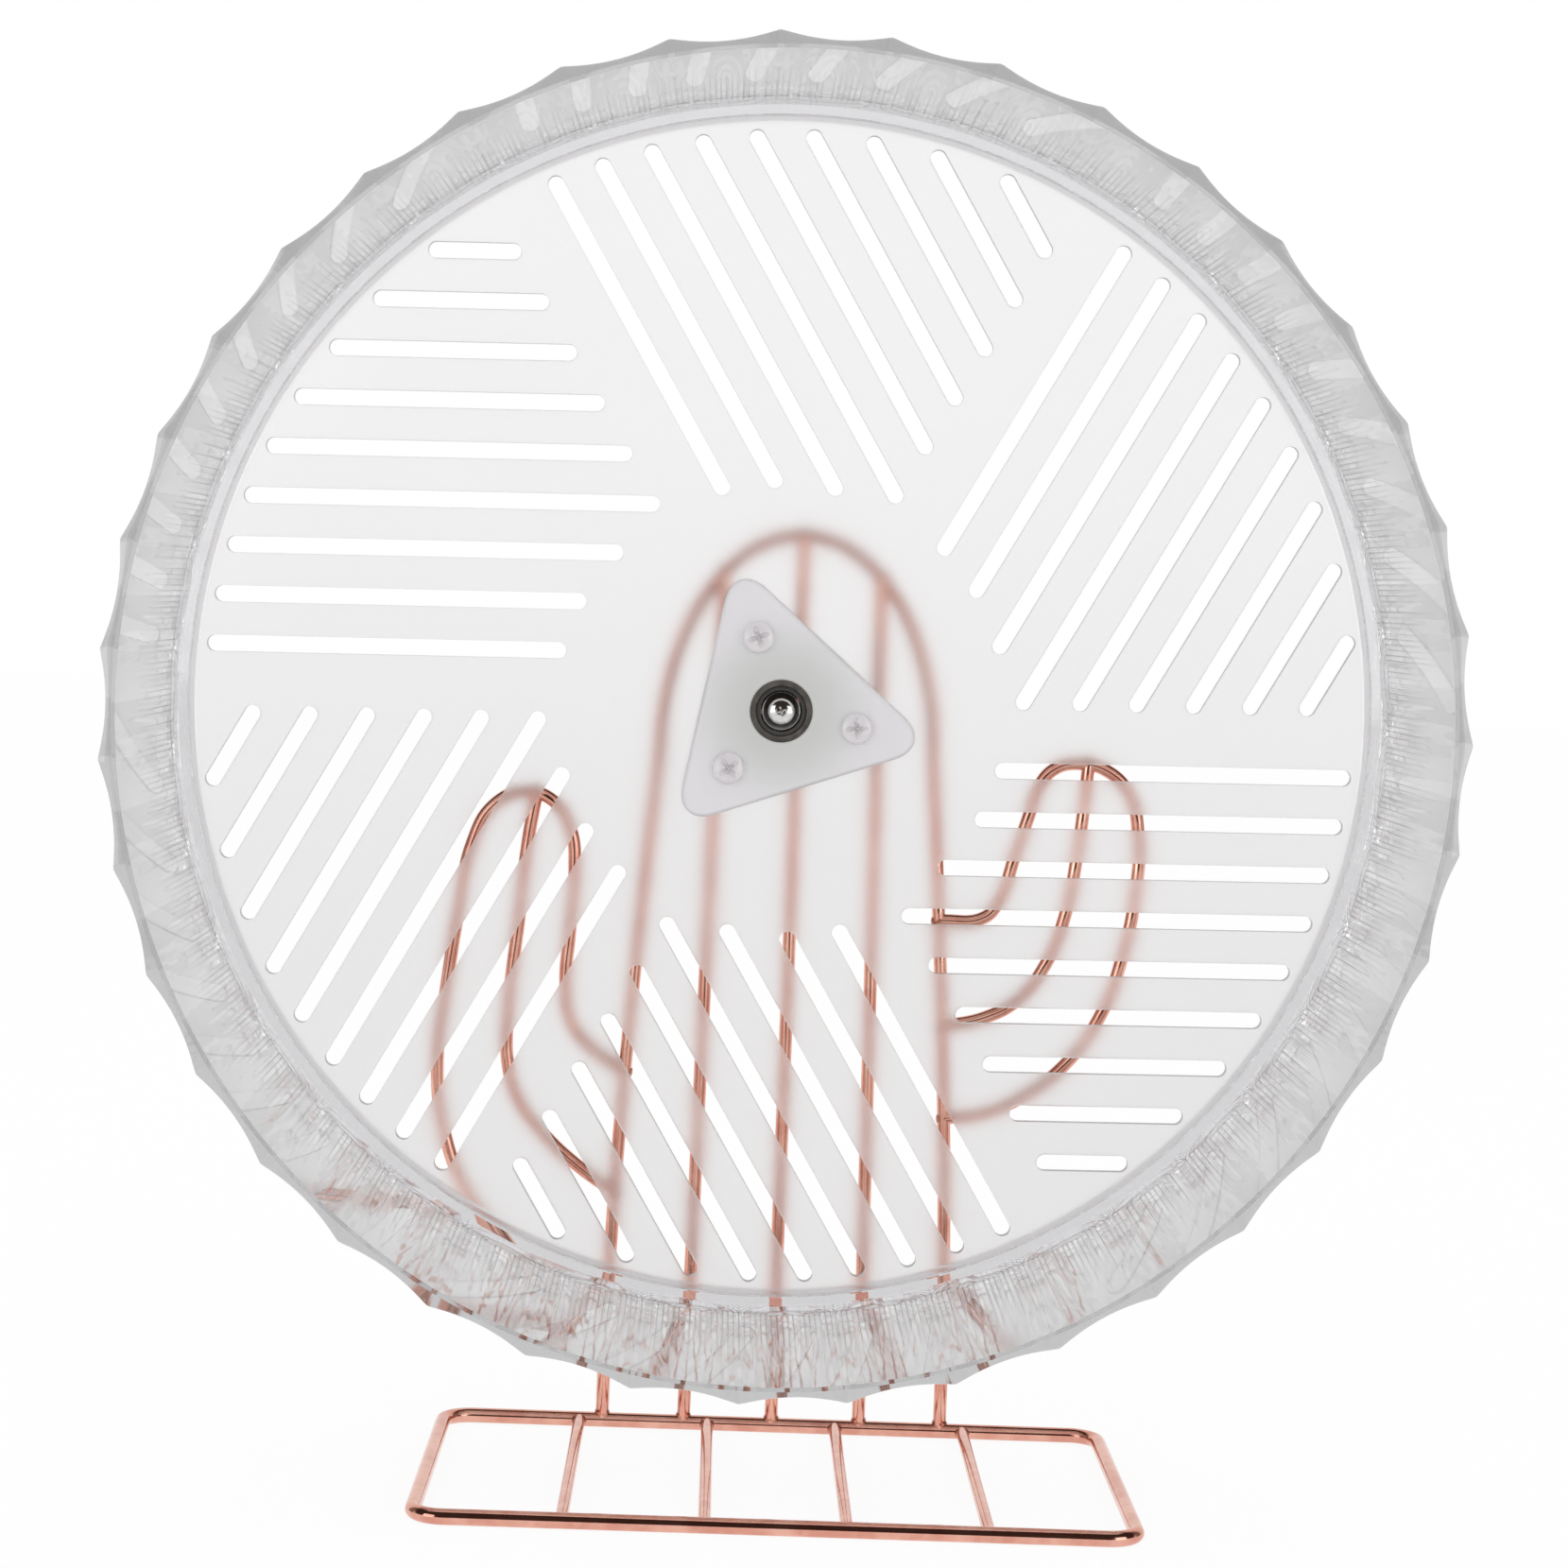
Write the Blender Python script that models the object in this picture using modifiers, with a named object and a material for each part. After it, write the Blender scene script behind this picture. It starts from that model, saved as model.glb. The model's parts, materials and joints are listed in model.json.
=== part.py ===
"""Hamster exercise wheel: a clear fluted running drum with a slotted back disc, carried on two
ball bearings in front of a welded wire stand in the outline of a cactus.

Metres, +Z up. The drum's open front faces -Y. The origin is on the ground, under the axle in X
and halfway through the object's depth in Y. Depths are measured back from the drum's front edge.
"""

import math

import bmesh
import bpy
from mathutils import Matrix

MM = 0.001

# Clearances that every seat and cut shares, and the angle past which an edge looks sharp
SEAT_GAP = 0.3 * MM
BORE_FIT = 0.1 * MM
CUT_OVERRUN = 2.0 * MM
WELD_DISTANCE = 0.001 * MM
SHARP_DEGREES = 50

# Running drum, clear moulded plastic
WHEEL_DIAMETER = 300.0 * MM
SCALLOPS = 39
STEPS_PER_SCALLOP = 4
SCALLOP_DEPTH = 1.9 * MM
FIRST_PEAK_DEGREES = 92.7
DRUM_WALL = 2.0 * MM
TRACK_DEPTH = 90.0 * MM
RIM_BEVEL = 0.8 * MM
FLUTE_FADE = 14.0 * MM
REAR_COLLAR = 3.0 * MM
LIP_BAND = 2.0 * MM
LIP_REACH = 1.4 * MM
LIP_WALL = 2.0 * MM

# Back disc, frosted plastic, with six groups of slots
DISC_THICKNESS = 2.5 * MM
DISC_STEPS = 96
SLOT_GROUPS = 6
SLOT_LEAN_DEGREES = 0.9
SLOT_WIDTH = 4.0 * MM
SLOT_PITCH = 12.0 * MM
SLOT_SHORTEST = 8.0 * MM
SLOT_END_STEPS = 4
FIRST_SLOT_OFFSET = 13.5 * MM
SLOT_EDGE_MARGIN = 3.6 * MM
SLOT_FIELD_INNER_RADIUS = 54.2 * MM
SLOT_BAY_OFFSET = 1.66 * MM

# Hub: triangular plate in front of the disc, housing behind it, three screws through both
HUB_SIDE_WIDTH = 9.3 * MM
HUB_CORNER_RADIUS = 6.1 * MM
HUB_CORNER_STEPS = 6
HUB_TURN_DEGREES = 109.2
HUB_CORNERS = 3
HUB_PLATE_THICKNESS = 3.0 * MM
HUB_LIP = 0.6 * MM
HUB_LIP_OVERLAP = 0.4 * MM
FLANGE_THICKNESS = 2.5 * MM
SPIGOT_WALL = 1.9 * MM
SHOULDER_WIDTH = 2.8 * MM
SHOULDER_REACH = 1.1 * MM
SCREW_FROM_SPIGOT = 8.8 * MM
SCREW_DIAMETER = 2.9 * MM
SCREW_HEAD_DIAMETER = 7.6 * MM
SCREW_HEAD_HEIGHT = 1.8 * MM
SCREW_TIP_LENGTH = 1.5 * MM
SCREW_STEPS = 12
RECESS_DEPTH_SHARE = 0.55
RECESS_SPAN_SHARE = 0.56
RECESS_SLOT_SHARE = 0.14
RECESS_TURN_DEGREES = 20

# Bearings, 5 mm bore and 16 mm outside. The ball is a share of the width, its circle lies at a
# share of the way from the bore to the outside, and the rings' lands at a share of its radius.
BEARING_BORE = 5.0 * MM
BEARING_DIAMETER = 16.0 * MM
BEARING_WIDTH = 5.0 * MM
BEARING_STEPS = 24
BALLS = 7
BALL_SEGMENTS = 8
BALL_RINGS = 6
BALL_SHARE = 0.48
BALL_CIRCLE_SHARE = 0.545
LAND_SHARE = 0.583
RACE_CLEARANCE = 0.2 * MM
RACE_STEPS = 4
CAGE_WALL = 0.7 * MM
CAGE_GAP = 0.15 * MM
CAGE_PRONG = 0.45 * MM
POCKET_CLEARANCE = 0.1 * MM
SEAL_THICKNESS = 0.35 * MM
SEAL_RECESS = 0.2 * MM
SEAL_RUNNING_GAP = 0.2 * MM

# Axle: bolt through the inner rings into a round plate welded to the stand
BOLT_HEAD_DIAMETER = 6.6 * MM
BOLT_HEAD_HEIGHT = 2.2 * MM
BOLT_END_SETBACK = 0.5 * MM
CLAMP_SETBACK = 0.3 * MM
MOUNT_PLATE_DIAMETER = 30.0 * MM
MOUNT_PLATE_THICKNESS = 2.0 * MM
RUNNING_CLEARANCE = 2.75 * MM
MOUNT_STEPS = 32

# Stand, welded wire
GROUND_CLEARANCE = 32.0 * MM
STAND_OFFSET = 4.5 * MM
RAIL_WIRE = 4.0 * MM
UPRIGHT_WIRE = 3.3 * MM
CROSSBAR_WIRE = 3.0 * MM
WIRE_SIDES = 8
BASE_WIDTH = 163.4 * MM
BASE_CORNER_RADIUS = 7.0 * MM
BASE_CORNER_STEPS = 5
FRONT_RAIL_SETBACK = 11.5 * MM
CROSSBARS = 4
CROSSBAR_PITCH_SHARE = 0.196
TRUNK_TOP_ABOVE_AXLE = 43.0 * MM
TRUNK_SHOULDER_BELOW_AXLE = 11.0 * MM
TRUNK_SHOULDER_HALF = 34.0 * MM
TRUNK_FOOT_HALF = 42.4 * MM
ARCH_STEPS = 16
LEG_STEPS = 5
RIB_SPACING_FOOT = 22.0 * MM
RIB_SPACING_TOP = 19.4 * MM
BEND_STEPS = 2

# Arms: each is a loop of wire and one wire inside it. A row is (across, up): the share of the
# arm's reach out from the trunk's leg, and the share of its height above its lower weld.
LEFT_ARM_ROOT_HEIGHT = 33.0 * MM
LEFT_ARM_HEIGHT = 126.0 * MM
LEFT_ARM_REACH = 44.5 * MM
LEFT_LOOP_SHARES = (
    (0.0, 0.0), (0.225, 0.024), (0.53, 0.09), (0.80, 0.195), (0.955, 0.33), (1.0, 0.46),
    (0.965, 0.60), (0.905, 0.77), (0.845, 0.895), (0.735, 0.97), (0.562, 1.0), (0.404, 0.984),
    (0.30, 0.93), (0.268, 0.849), (0.285, 0.72), (0.297, 0.625), (0.262, 0.55), (0.16, 0.503),
    (-0.067, 0.452),
)
LEFT_RIB_SHARES = (
    (0.494, 1.0), (0.535, 0.90), (0.572, 0.74), (0.61, 0.58), (0.605, 0.46), (0.54, 0.39),
    (0.40, 0.325), (0.20, 0.262), (-0.016, 0.21),
)
RIGHT_ARM_ROOT_HEIGHT = 81.0 * MM
RIGHT_ARM_HEIGHT = 90.0 * MM
RIGHT_ARM_REACH = 46.0 * MM
RIGHT_LOOP_SHARES = (
    (0.0, 0.0), (0.22, 0.018), (0.46, 0.08), (0.67, 0.175), (0.837, 0.311), (0.94, 0.48),
    (0.992, 0.65), (0.995, 0.80), (0.93, 0.925), (0.80, 0.985), (0.66, 1.0), (0.53, 0.985),
    (0.445, 0.935), (0.395, 0.85), (0.326, 0.733), (0.255, 0.615), (0.18, 0.565), (-0.087, 0.55),
)
RIGHT_RIB_SHARES = (
    (0.707, 1.0), (0.69, 0.87), (0.66, 0.72), (0.62, 0.59), (0.52, 0.44), (0.37, 0.335),
    (0.20, 0.285), (-0.048, 0.256),
)

# Finishes: linear colour, roughness, metallic and alpha
FINISHES = {
    "clear": ((0.86, 0.87, 0.88), 0.08, 0.0, 0.35),
    "frosted": ((0.85, 0.85, 0.85), 0.45, 0.0, 0.85),
    "hub": ((0.80, 0.80, 0.86), 0.40, 0.0, 0.80),
    "rose_gold": ((0.72, 0.33, 0.24), 0.18, 1.0, 1.0),
    "steel": ((0.55, 0.55, 0.54), 0.28, 1.0, 1.0),
    "bright_steel": ((0.75, 0.74, 0.71), 0.15, 1.0, 1.0),
    "seal": ((0.02, 0.02, 0.02), 0.50, 0.0, 1.0),
    "nylon": ((0.60, 0.58, 0.50), 0.50, 0.0, 1.0),
}

# Places worked out from the sizes above, first along the depth
wheel_radius = WHEEL_DIAMETER / 2
axle_height = wheel_radius + GROUND_CLEARANCE
track_radius = wheel_radius - SCALLOP_DEPTH - DRUM_WALL
rebate_radius = track_radius - LIP_BAND
disc_radius = rebate_radius - SEAT_GAP
lip_radius = rebate_radius - LIP_REACH
drum_depth = TRACK_DEPTH + DISC_THICKNESS + SEAT_GAP + LIP_WALL

bore_radius = BEARING_BORE / 2
bearing_radius = BEARING_DIAMETER / 2
ball_radius = BEARING_WIDTH * BALL_SHARE / 2
ball_circle = bore_radius + (bearing_radius - bore_radius) * BALL_CIRCLE_SHARE
inner_land = ball_circle - ball_radius * LAND_SHARE
outer_land = ball_circle + ball_radius * LAND_SHARE
bolt_radius = bore_radius - BORE_FIT
clamp_radius = inner_land - CLAMP_SETBACK
pocket_radius = bearing_radius + BORE_FIT
spigot_radius = pocket_radius + SPIGOT_WALL
hub_inradius = spigot_radius + HUB_SIDE_WIDTH
screw_circle = spigot_radius + SCREW_FROM_SPIGOT
hub_front = TRACK_DEPTH - SEAT_GAP - HUB_PLATE_THICKNESS
front_bearing_at = hub_front + HUB_LIP + SEAT_GAP
shoulder_at = front_bearing_at + BEARING_WIDTH + SEAT_GAP
rear_bearing_at = shoulder_at + SHOULDER_WIDTH + SEAT_GAP
housing_end = rear_bearing_at + BEARING_WIDTH + SEAT_GAP
flange_at = TRACK_DEPTH + DISC_THICKNESS + SEAT_GAP
flange_end = flange_at + FLANGE_THICKNESS
mount_plate_at = housing_end + RUNNING_CLEARANCE
mount_plate_end = mount_plate_at + MOUNT_PLATE_THICKNESS
trunk_at = mount_plate_end + SEAT_GAP + UPRIGHT_WIRE / 2

# then across and up
flat_share = math.cos(math.pi / WIRE_SIDES)
rail_height = RAIL_WIRE / 2 * flat_share
overall_depth = trunk_at + rail_height
front_y = -overall_depth / 2
trunk_y = front_y + trunk_at
front_rail_y = front_y + FRONT_RAIL_SETBACK
foot_height = 2 * rail_height + SEAT_GAP
shoulder_height = axle_height - TRUNK_SHOULDER_BELOW_AXLE
trunk_crown = TRUNK_TOP_ABOVE_AXLE + TRUNK_SHOULDER_BELOW_AXLE


def clear_scene():
    """Removes every object and makes the two collections that this file fills."""
    for obj in list(bpy.data.objects):
        bpy.data.objects.remove(obj, do_unlink=True)
    for name in ("hamster_wheel", "cutters"):
        bpy.context.scene.collection.children.link(bpy.data.collections.new(name))


def new_object(name, data, collection="hamster_wheel"):
    obj = bpy.data.objects.new(name, data)
    bpy.data.collections[collection].objects.link(obj)
    if collection == "cutters":
        obj.hide_render = True
        obj.display_type = "WIRE"
    return obj


def at_axle(x, depth, up):
    """The place this far to the right of the axle, behind the drum's front and above the axle."""
    return (x, front_y + depth, axle_height + up)


def face_front(obj):
    """Puts a turned or flat piece on the axle. Its local Z becomes the way to the front, and its
    local Y becomes up."""
    obj.location = at_axle(0, 0, 0)
    obj.rotation_euler = (math.pi / 2, 0, 0)


def as_solid(obj):
    """The evaluated object as a plain mesh object, with its caps welded on."""
    bpy.context.view_layer.update()
    evaluated = obj.evaluated_get(bpy.context.evaluated_depsgraph_get())
    mesh = bpy.data.meshes.new_from_object(evaluated)
    work = bmesh.new()
    work.from_mesh(mesh)
    bmesh.ops.remove_doubles(work, verts=work.verts, dist=WELD_DISTANCE)
    bmesh.ops.recalc_face_normals(work, faces=work.faces)
    work.to_mesh(mesh)
    work.free()
    mesh.shade_smooth()
    mesh.set_sharp_from_angle(angle=math.radians(SHARP_DEGREES))
    name = obj.name
    collection = obj.users_collection[0].name
    matrix = obj.matrix_world.copy()
    old = obj.data
    bpy.data.objects.remove(obj, do_unlink=True)
    bpy.data.batch_remove([old])
    mesh.name = name
    solid = new_object(name, mesh, collection)
    solid.matrix_world = matrix
    return solid


def give_finish(obj, finish):
    """A Principled material of its own for this piece."""
    colour, roughness, metallic, alpha = FINISHES[finish]
    material = bpy.data.materials.new(obj.name + "_finish")
    material.use_nodes = True
    shader = material.node_tree.nodes["Principled BSDF"]
    shader.inputs["Base Color"].default_value = (*colour, 1.0)
    shader.inputs["Roughness"].default_value = roughness
    shader.inputs["Metallic"].default_value = metallic
    shader.inputs["Alpha"].default_value = alpha
    obj.data.materials.clear()
    obj.data.materials.append(material)


def place(obj, body, finish):
    """Makes a piece part of a body, where it is, and gives it its finish."""
    obj.parent = body
    obj.matrix_parent_inverse = Matrix.Translation(body.location).inverted()
    give_finish(obj, finish)


def turned(name, profile, steps, closed=True, collection="hamster_wheel"):
    """A turned piece about the axle. The profile is a list of (radius, depth), and it runs back
    along the outside first. A closed profile makes a ring, an open one starts and ends on the
    axis."""
    count = len(profile)
    edges = [(i, i + 1) for i in range(count - 1)]
    if closed:
        edges.append((count - 1, 0))
    mesh = bpy.data.meshes.new(name)
    mesh.from_pydata([(radius, 0, -depth) for radius, depth in profile], edges, [])
    obj = new_object(name, mesh, collection)
    screw = obj.modifiers.new("turn", "SCREW")
    screw.axis = "Z"
    screw.angle = 2 * math.pi
    screw.steps = steps
    screw.render_steps = steps
    screw.use_merge_vertices = True
    screw.merge_threshold = WELD_DISTANCE
    face_front(obj)
    return as_solid(obj)


def flat_outline(name, loops, front, thickness, collection="hamster_wheel"):
    """A flat piece from closed outlines: the first is its edge and the others are holes."""
    data = bpy.data.curves.new(name, "CURVE")
    data.dimensions = "2D"
    data.fill_mode = "BOTH"
    data.extrude = thickness / 2
    for loop in loops:
        spline = data.splines.new("POLY")
        spline.points.add(len(loop) - 1)
        for point, (x, y) in zip(spline.points, loop):
            point.co = (x, y, 0, 1)
        spline.use_cyclic_u = True
    obj = as_solid(new_object(name, data, collection))
    obj.data.transform(Matrix.Translation((0, 0, -front - thickness / 2)))
    face_front(obj)
    return obj


def wire(name, points, diameter, closed=False, collection="hamster_wheel"):
    """A wire through the given points. A closed one lies on a flat side."""
    data = bpy.data.curves.new(name, "CURVE")
    data.dimensions = "3D"
    data.twist_mode = "Z_UP" if closed else "MINIMUM"
    data.bevel_depth = diameter / 2
    data.bevel_resolution = WIRE_SIDES // 2 - 2
    data.use_fill_caps = True
    spline = data.splines.new("POLY")
    spline.points.add(len(points) - 1)
    for point, (x, y, z) in zip(spline.points, points):
        point.co = (x, y, z, 1)
        point.tilt = math.pi / WIRE_SIDES if closed else 0
    spline.use_cyclic_u = closed
    return as_solid(new_object(name, data, collection))


def cut(obj, cutter):
    boolean = obj.modifiers.new(cutter.name, "BOOLEAN")
    boolean.operation = "DIFFERENCE"
    boolean.solver = "EXACT"
    boolean.object = cutter


def wire_cutter(name, points, diameter, closed=False):
    """The wire that another one is welded to, grown by the gap between them."""
    return wire(name, points, diameter + 2 * SEAT_GAP, closed, "cutters")


def smooth(points, steps):
    """A Catmull-Rom curve through the points, with this many steps from each to the next."""
    padded = [points[0], *points, points[-1]]
    curve = []
    for a, b, c, d in zip(padded, padded[1:], padded[2:], padded[3:]):
        for step in range(steps):
            t = step / steps
            weights = (
                (-t + 2 * t**2 - t**3) / 2,
                (2 - 5 * t**2 + 3 * t**3) / 2,
                (t + 4 * t**2 - 3 * t**3) / 2,
                (-(t**2) + t**3) / 2,
            )
            corners = (a, b, c, d)
            curve.append(tuple(
                sum(w * corner[axis] for w, corner in zip(weights, corners))
                for axis in range(len(a))
            ))
    curve.append(points[-1])
    return curve


def arc(centre, radius, start, end, steps):
    """Points on an arc in the plane, from one angle to another, both ends included."""
    angles = (start + (end - start) * step / steps for step in range(steps + 1))
    return [(centre[0] + radius * math.cos(a), centre[1] + radius * math.sin(a)) for a in angles]


def circle(centre, radius, steps):
    return arc(centre, radius, 0, 2 * math.pi, steps)[:-1]


def turn(points, angle):
    """Points of the plane turned about the axle."""
    c = math.cos(angle)
    s = math.sin(angle)
    return [(x * c - y * s, x * s + y * c) for x, y in points]


def screw_angles():
    first = math.radians(HUB_TURN_DEGREES)
    return [first + 2 * math.pi * corner / HUB_CORNERS for corner in range(HUB_CORNERS)]


def on_circle(radius, angle):
    return (radius * math.cos(angle), radius * math.sin(angle))


# Wheel


def make_drum(wheel):
    """The drum is turned, then its outside is fluted: each flute is a shallow hollow that runs
    out in a U before the round collar at the back."""
    fade_start = drum_depth - REAR_COLLAR - FLUTE_FADE
    fade_end = drum_depth - REAR_COLLAR
    fade_half = fade_start + FLUTE_FADE * math.sqrt(0.5)
    lip_front = drum_depth - LIP_WALL
    obj = turned(
        "drum",
        [
            (wheel_radius, 0), (wheel_radius, fade_start), (wheel_radius, fade_half),
            (wheel_radius, fade_end), (wheel_radius, drum_depth), (lip_radius, drum_depth),
            (lip_radius, lip_front), (rebate_radius, lip_front), (rebate_radius, TRACK_DEPTH),
            (track_radius, TRACK_DEPTH), (track_radius, RIM_BEVEL), (track_radius + RIM_BEVEL, 0),
        ],
        SCALLOPS * STEPS_PER_SCALLOP,
    )
    for vertex in obj.data.vertices:
        radius = math.hypot(vertex.co.x, vertex.co.y)
        if radius < wheel_radius - WELD_DISTANCE:
            continue
        angle = math.atan2(vertex.co.y, vertex.co.x)
        across = (angle * SCALLOPS / (2 * math.pi)) % 1.0
        along = max(0.0, (-vertex.co.z - fade_start) / FLUTE_FADE)
        hollow = max(0.0, 1 - (2 * across - 1) ** 2 - along**2)
        shrink = 1 - SCALLOP_DEPTH * hollow / radius
        vertex.co.x *= shrink
        vertex.co.y *= shrink
    obj.data.transform(Matrix.Rotation(math.radians(FIRST_PEAK_DEGREES), 4, "Z"))
    obj.data.set_sharp_from_angle(angle=math.radians(SHARP_DEGREES))
    place(obj, wheel, "clear")


def slot_outline(start, end, height):
    """A slot with round ends, from one end's outermost point to the other's."""
    radius = SLOT_WIDTH / 2
    right = arc((end - radius, height), radius, -math.pi / 2, math.pi / 2, SLOT_END_STEPS)
    left = arc((start + radius, height), radius, math.pi / 2, 3 * math.pi / 2, SLOT_END_STEPS)
    return right + left


def slot_field():
    """One group of level slots below the axle's height, to the right. Each starts on the inner
    circle or on the line beside the next group, whichever is further out, and ends at the rim."""
    group_angle = 2 * math.pi / SLOT_GROUPS
    field_radius = disc_radius - SLOT_EDGE_MARGIN
    slots = []
    offset = FIRST_SLOT_OFFSET
    while offset < field_radius:
        inner = math.sqrt(max(0.0, SLOT_FIELD_INNER_RADIUS**2 - offset**2))
        line = offset / math.tan(group_angle) + SLOT_BAY_OFFSET / math.sin(group_angle)
        start = max(inner, line)
        end = math.sqrt(field_radius**2 - offset**2)
        if end - start > SLOT_SHORTEST:
            slots.append(slot_outline(start, end, -offset))
        offset += SLOT_PITCH
    return slots


def make_back_disc(wheel):
    loops = [circle((0, 0), disc_radius, DISC_STEPS)]
    loops.append(circle((0, 0), spigot_radius + SEAT_GAP, MOUNT_STEPS))
    for angle in screw_angles():
        centre = on_circle(screw_circle, angle)
        loops.append(circle(centre, SCREW_DIAMETER / 2 + SEAT_GAP, SCREW_STEPS))
    for group in range(SLOT_GROUPS):
        angle = math.radians(SLOT_LEAN_DEGREES) + 2 * math.pi * group / SLOT_GROUPS
        loops.extend(turn(slot, angle) for slot in slot_field())
    obj = flat_outline("back_disc", loops, TRACK_DEPTH, DISC_THICKNESS)
    place(obj, wheel, "frosted")


def hub_outline():
    """The triangle with rounded corners that the hub plate and the housing's flange share."""
    corner_distance = 2 * (hub_inradius - HUB_CORNER_RADIUS)
    half_turn = math.pi / HUB_CORNERS
    points = []
    for angle in screw_angles():
        centre = on_circle(corner_distance, angle)
        points += arc(centre, HUB_CORNER_RADIUS, angle - half_turn, angle + half_turn,
                      HUB_CORNER_STEPS)
    return points


def screw_holes(name, front, end):
    """One cutter for the three screw holes, as separate pins in one mesh."""
    loops = [
        circle(on_circle(screw_circle, angle), SCREW_DIAMETER / 2 + BORE_FIT, SCREW_STEPS)
        for angle in screw_angles()
    ]
    thickness = end - front + 2 * CUT_OVERRUN
    return flat_outline(name, loops, front - CUT_OVERRUN, thickness, "cutters")


def make_hub_plate(wheel):
    lip_opening = bearing_radius - HUB_LIP_OVERLAP
    pocket_front = hub_front + HUB_LIP
    plate_end = hub_front + HUB_PLATE_THICKNESS
    obj = flat_outline("hub_plate", [hub_outline()], hub_front, HUB_PLATE_THICKNESS)
    bore = turned(
        "hub_plate_bore",
        [
            (0, hub_front - CUT_OVERRUN), (lip_opening, hub_front - CUT_OVERRUN),
            (lip_opening, pocket_front), (spigot_radius + SEAT_GAP, pocket_front),
            (spigot_radius + SEAT_GAP, plate_end + CUT_OVERRUN), (0, plate_end + CUT_OVERRUN),
        ],
        MOUNT_STEPS, False, "cutters",
    )
    holes = screw_holes("hub_plate_screw_holes", hub_front, plate_end)
    cut(obj, bore)
    cut(obj, holes)
    place(obj, wheel, "hub")


def make_housing(wheel):
    """A turned tube with a triangular flange. The two bearings sit on either side of its inner
    shoulder, and its front end reaches through the disc into the hub plate."""
    obj = flat_outline("bearing_housing", [hub_outline()], flange_at, FLANGE_THICKNESS)
    tube = turned(
        "housing_tube",
        [
            (0, front_bearing_at), (spigot_radius, front_bearing_at),
            (spigot_radius, housing_end), (0, housing_end),
        ],
        MOUNT_STEPS, False, "cutters",
    )
    shoulder_radius = bearing_radius - SHOULDER_REACH
    shoulder_end = shoulder_at + SHOULDER_WIDTH
    bore = turned(
        "housing_bore",
        [
            (0, front_bearing_at - CUT_OVERRUN), (pocket_radius, front_bearing_at - CUT_OVERRUN),
            (pocket_radius, shoulder_at), (shoulder_radius, shoulder_at),
            (shoulder_radius, shoulder_end), (pocket_radius, shoulder_end),
            (pocket_radius, housing_end + CUT_OVERRUN), (0, housing_end + CUT_OVERRUN),
        ],
        BEARING_STEPS, False, "cutters",
    )
    join = obj.modifiers.new("tube", "BOOLEAN")
    join.operation = "UNION"
    join.solver = "EXACT"
    join.object = tube
    cut(obj, bore)
    cut(obj, screw_holes("housing_screw_holes", flange_at, flange_end))
    place(obj, wheel, "frosted")


def headed_pin(name, head_radius, head_height, shank_radius, seat, tip, steps):
    """A screw or bolt: a domed head in front of its seat, and a plain shank behind it."""
    dome_shares = ((0.45, 1.0), (0.8, 0.8), (1.0, 0.45))
    profile = [(0, seat - head_height)]
    profile += [(head_radius * r, seat - head_height * h) for r, h in dome_shares]
    profile += [(head_radius, seat), (shank_radius, seat), (shank_radius, tip), (0, tip)]
    return turned(name, profile, steps, False)


def cross_recess(name, head_radius, head_height, seat):
    """A cross that is sunk into a screw head, as one closed outline."""
    span = head_radius * RECESS_SPAN_SHARE
    half = head_radius * RECESS_SLOT_SHARE
    arm = [(half, half), (half, span), (-half, span)]
    outline = []
    for quarter in range(4):
        outline += turn(arm, math.radians(RECESS_TURN_DEGREES) + quarter * math.pi / 2)
    depth = head_height * RECESS_DEPTH_SHARE
    front = seat - head_height - CUT_OVERRUN
    return flat_outline(name, [outline], front, depth + CUT_OVERRUN, "cutters")


def make_hub_screws(wheel):
    seat = hub_front - SEAT_GAP
    for number, angle in enumerate(screw_angles(), 1):
        x, up = on_circle(screw_circle, angle)
        obj = headed_pin(
            f"hub_screw_{number}", SCREW_HEAD_DIAMETER / 2, SCREW_HEAD_HEIGHT, SCREW_DIAMETER / 2,
            seat, flange_end + SCREW_TIP_LENGTH, SCREW_STEPS,
        )
        recess = cross_recess(
            f"hub_screw_recess_{number}", SCREW_HEAD_DIAMETER / 2, SCREW_HEAD_HEIGHT, seat
        )
        for piece in (obj, recess):
            piece.location = at_axle(x, 0, up)
        cut(obj, recess)
        place(obj, wheel, "clear")


# Bearings


def race_arc(side, middle):
    """The groove that the balls run in, as points of a ring's profile. Side 1 is the outer ring's
    inside, from back to front, and side -1 is the inner ring's outside, from front to back."""
    groove = ball_radius + RACE_CLEARANCE
    reach = math.acos(ball_radius * LAND_SHARE / groove)
    points = []
    for step in range(RACE_STEPS + 1):
        angle = side * reach * (1 - 2 * step / RACE_STEPS)
        radius = ball_circle + side * groove * math.cos(angle)
        points.append((radius, middle + groove * math.sin(angle)))
    return points


def make_rings(label, front, stand, wheel):
    """The outer ring is held in the housing, and the inner one is clamped on the bolt."""
    back = front + BEARING_WIDTH
    middle = front + BEARING_WIDTH / 2
    outer = turned(
        f"{label}_bearing_outer_ring",
        [
            (bearing_radius, front), (bearing_radius, back), (outer_land, back),
            *race_arc(1, middle), (outer_land, front),
        ],
        BEARING_STEPS,
    )
    place(outer, wheel, "steel")
    inner = turned(
        f"{label}_bearing_inner_ring",
        [
            (inner_land, front), *race_arc(-1, middle),
            (inner_land, back), (bore_radius, back), (bore_radius, front),
        ],
        BEARING_STEPS,
    )
    place(inner, stand, "bright_steel")


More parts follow.
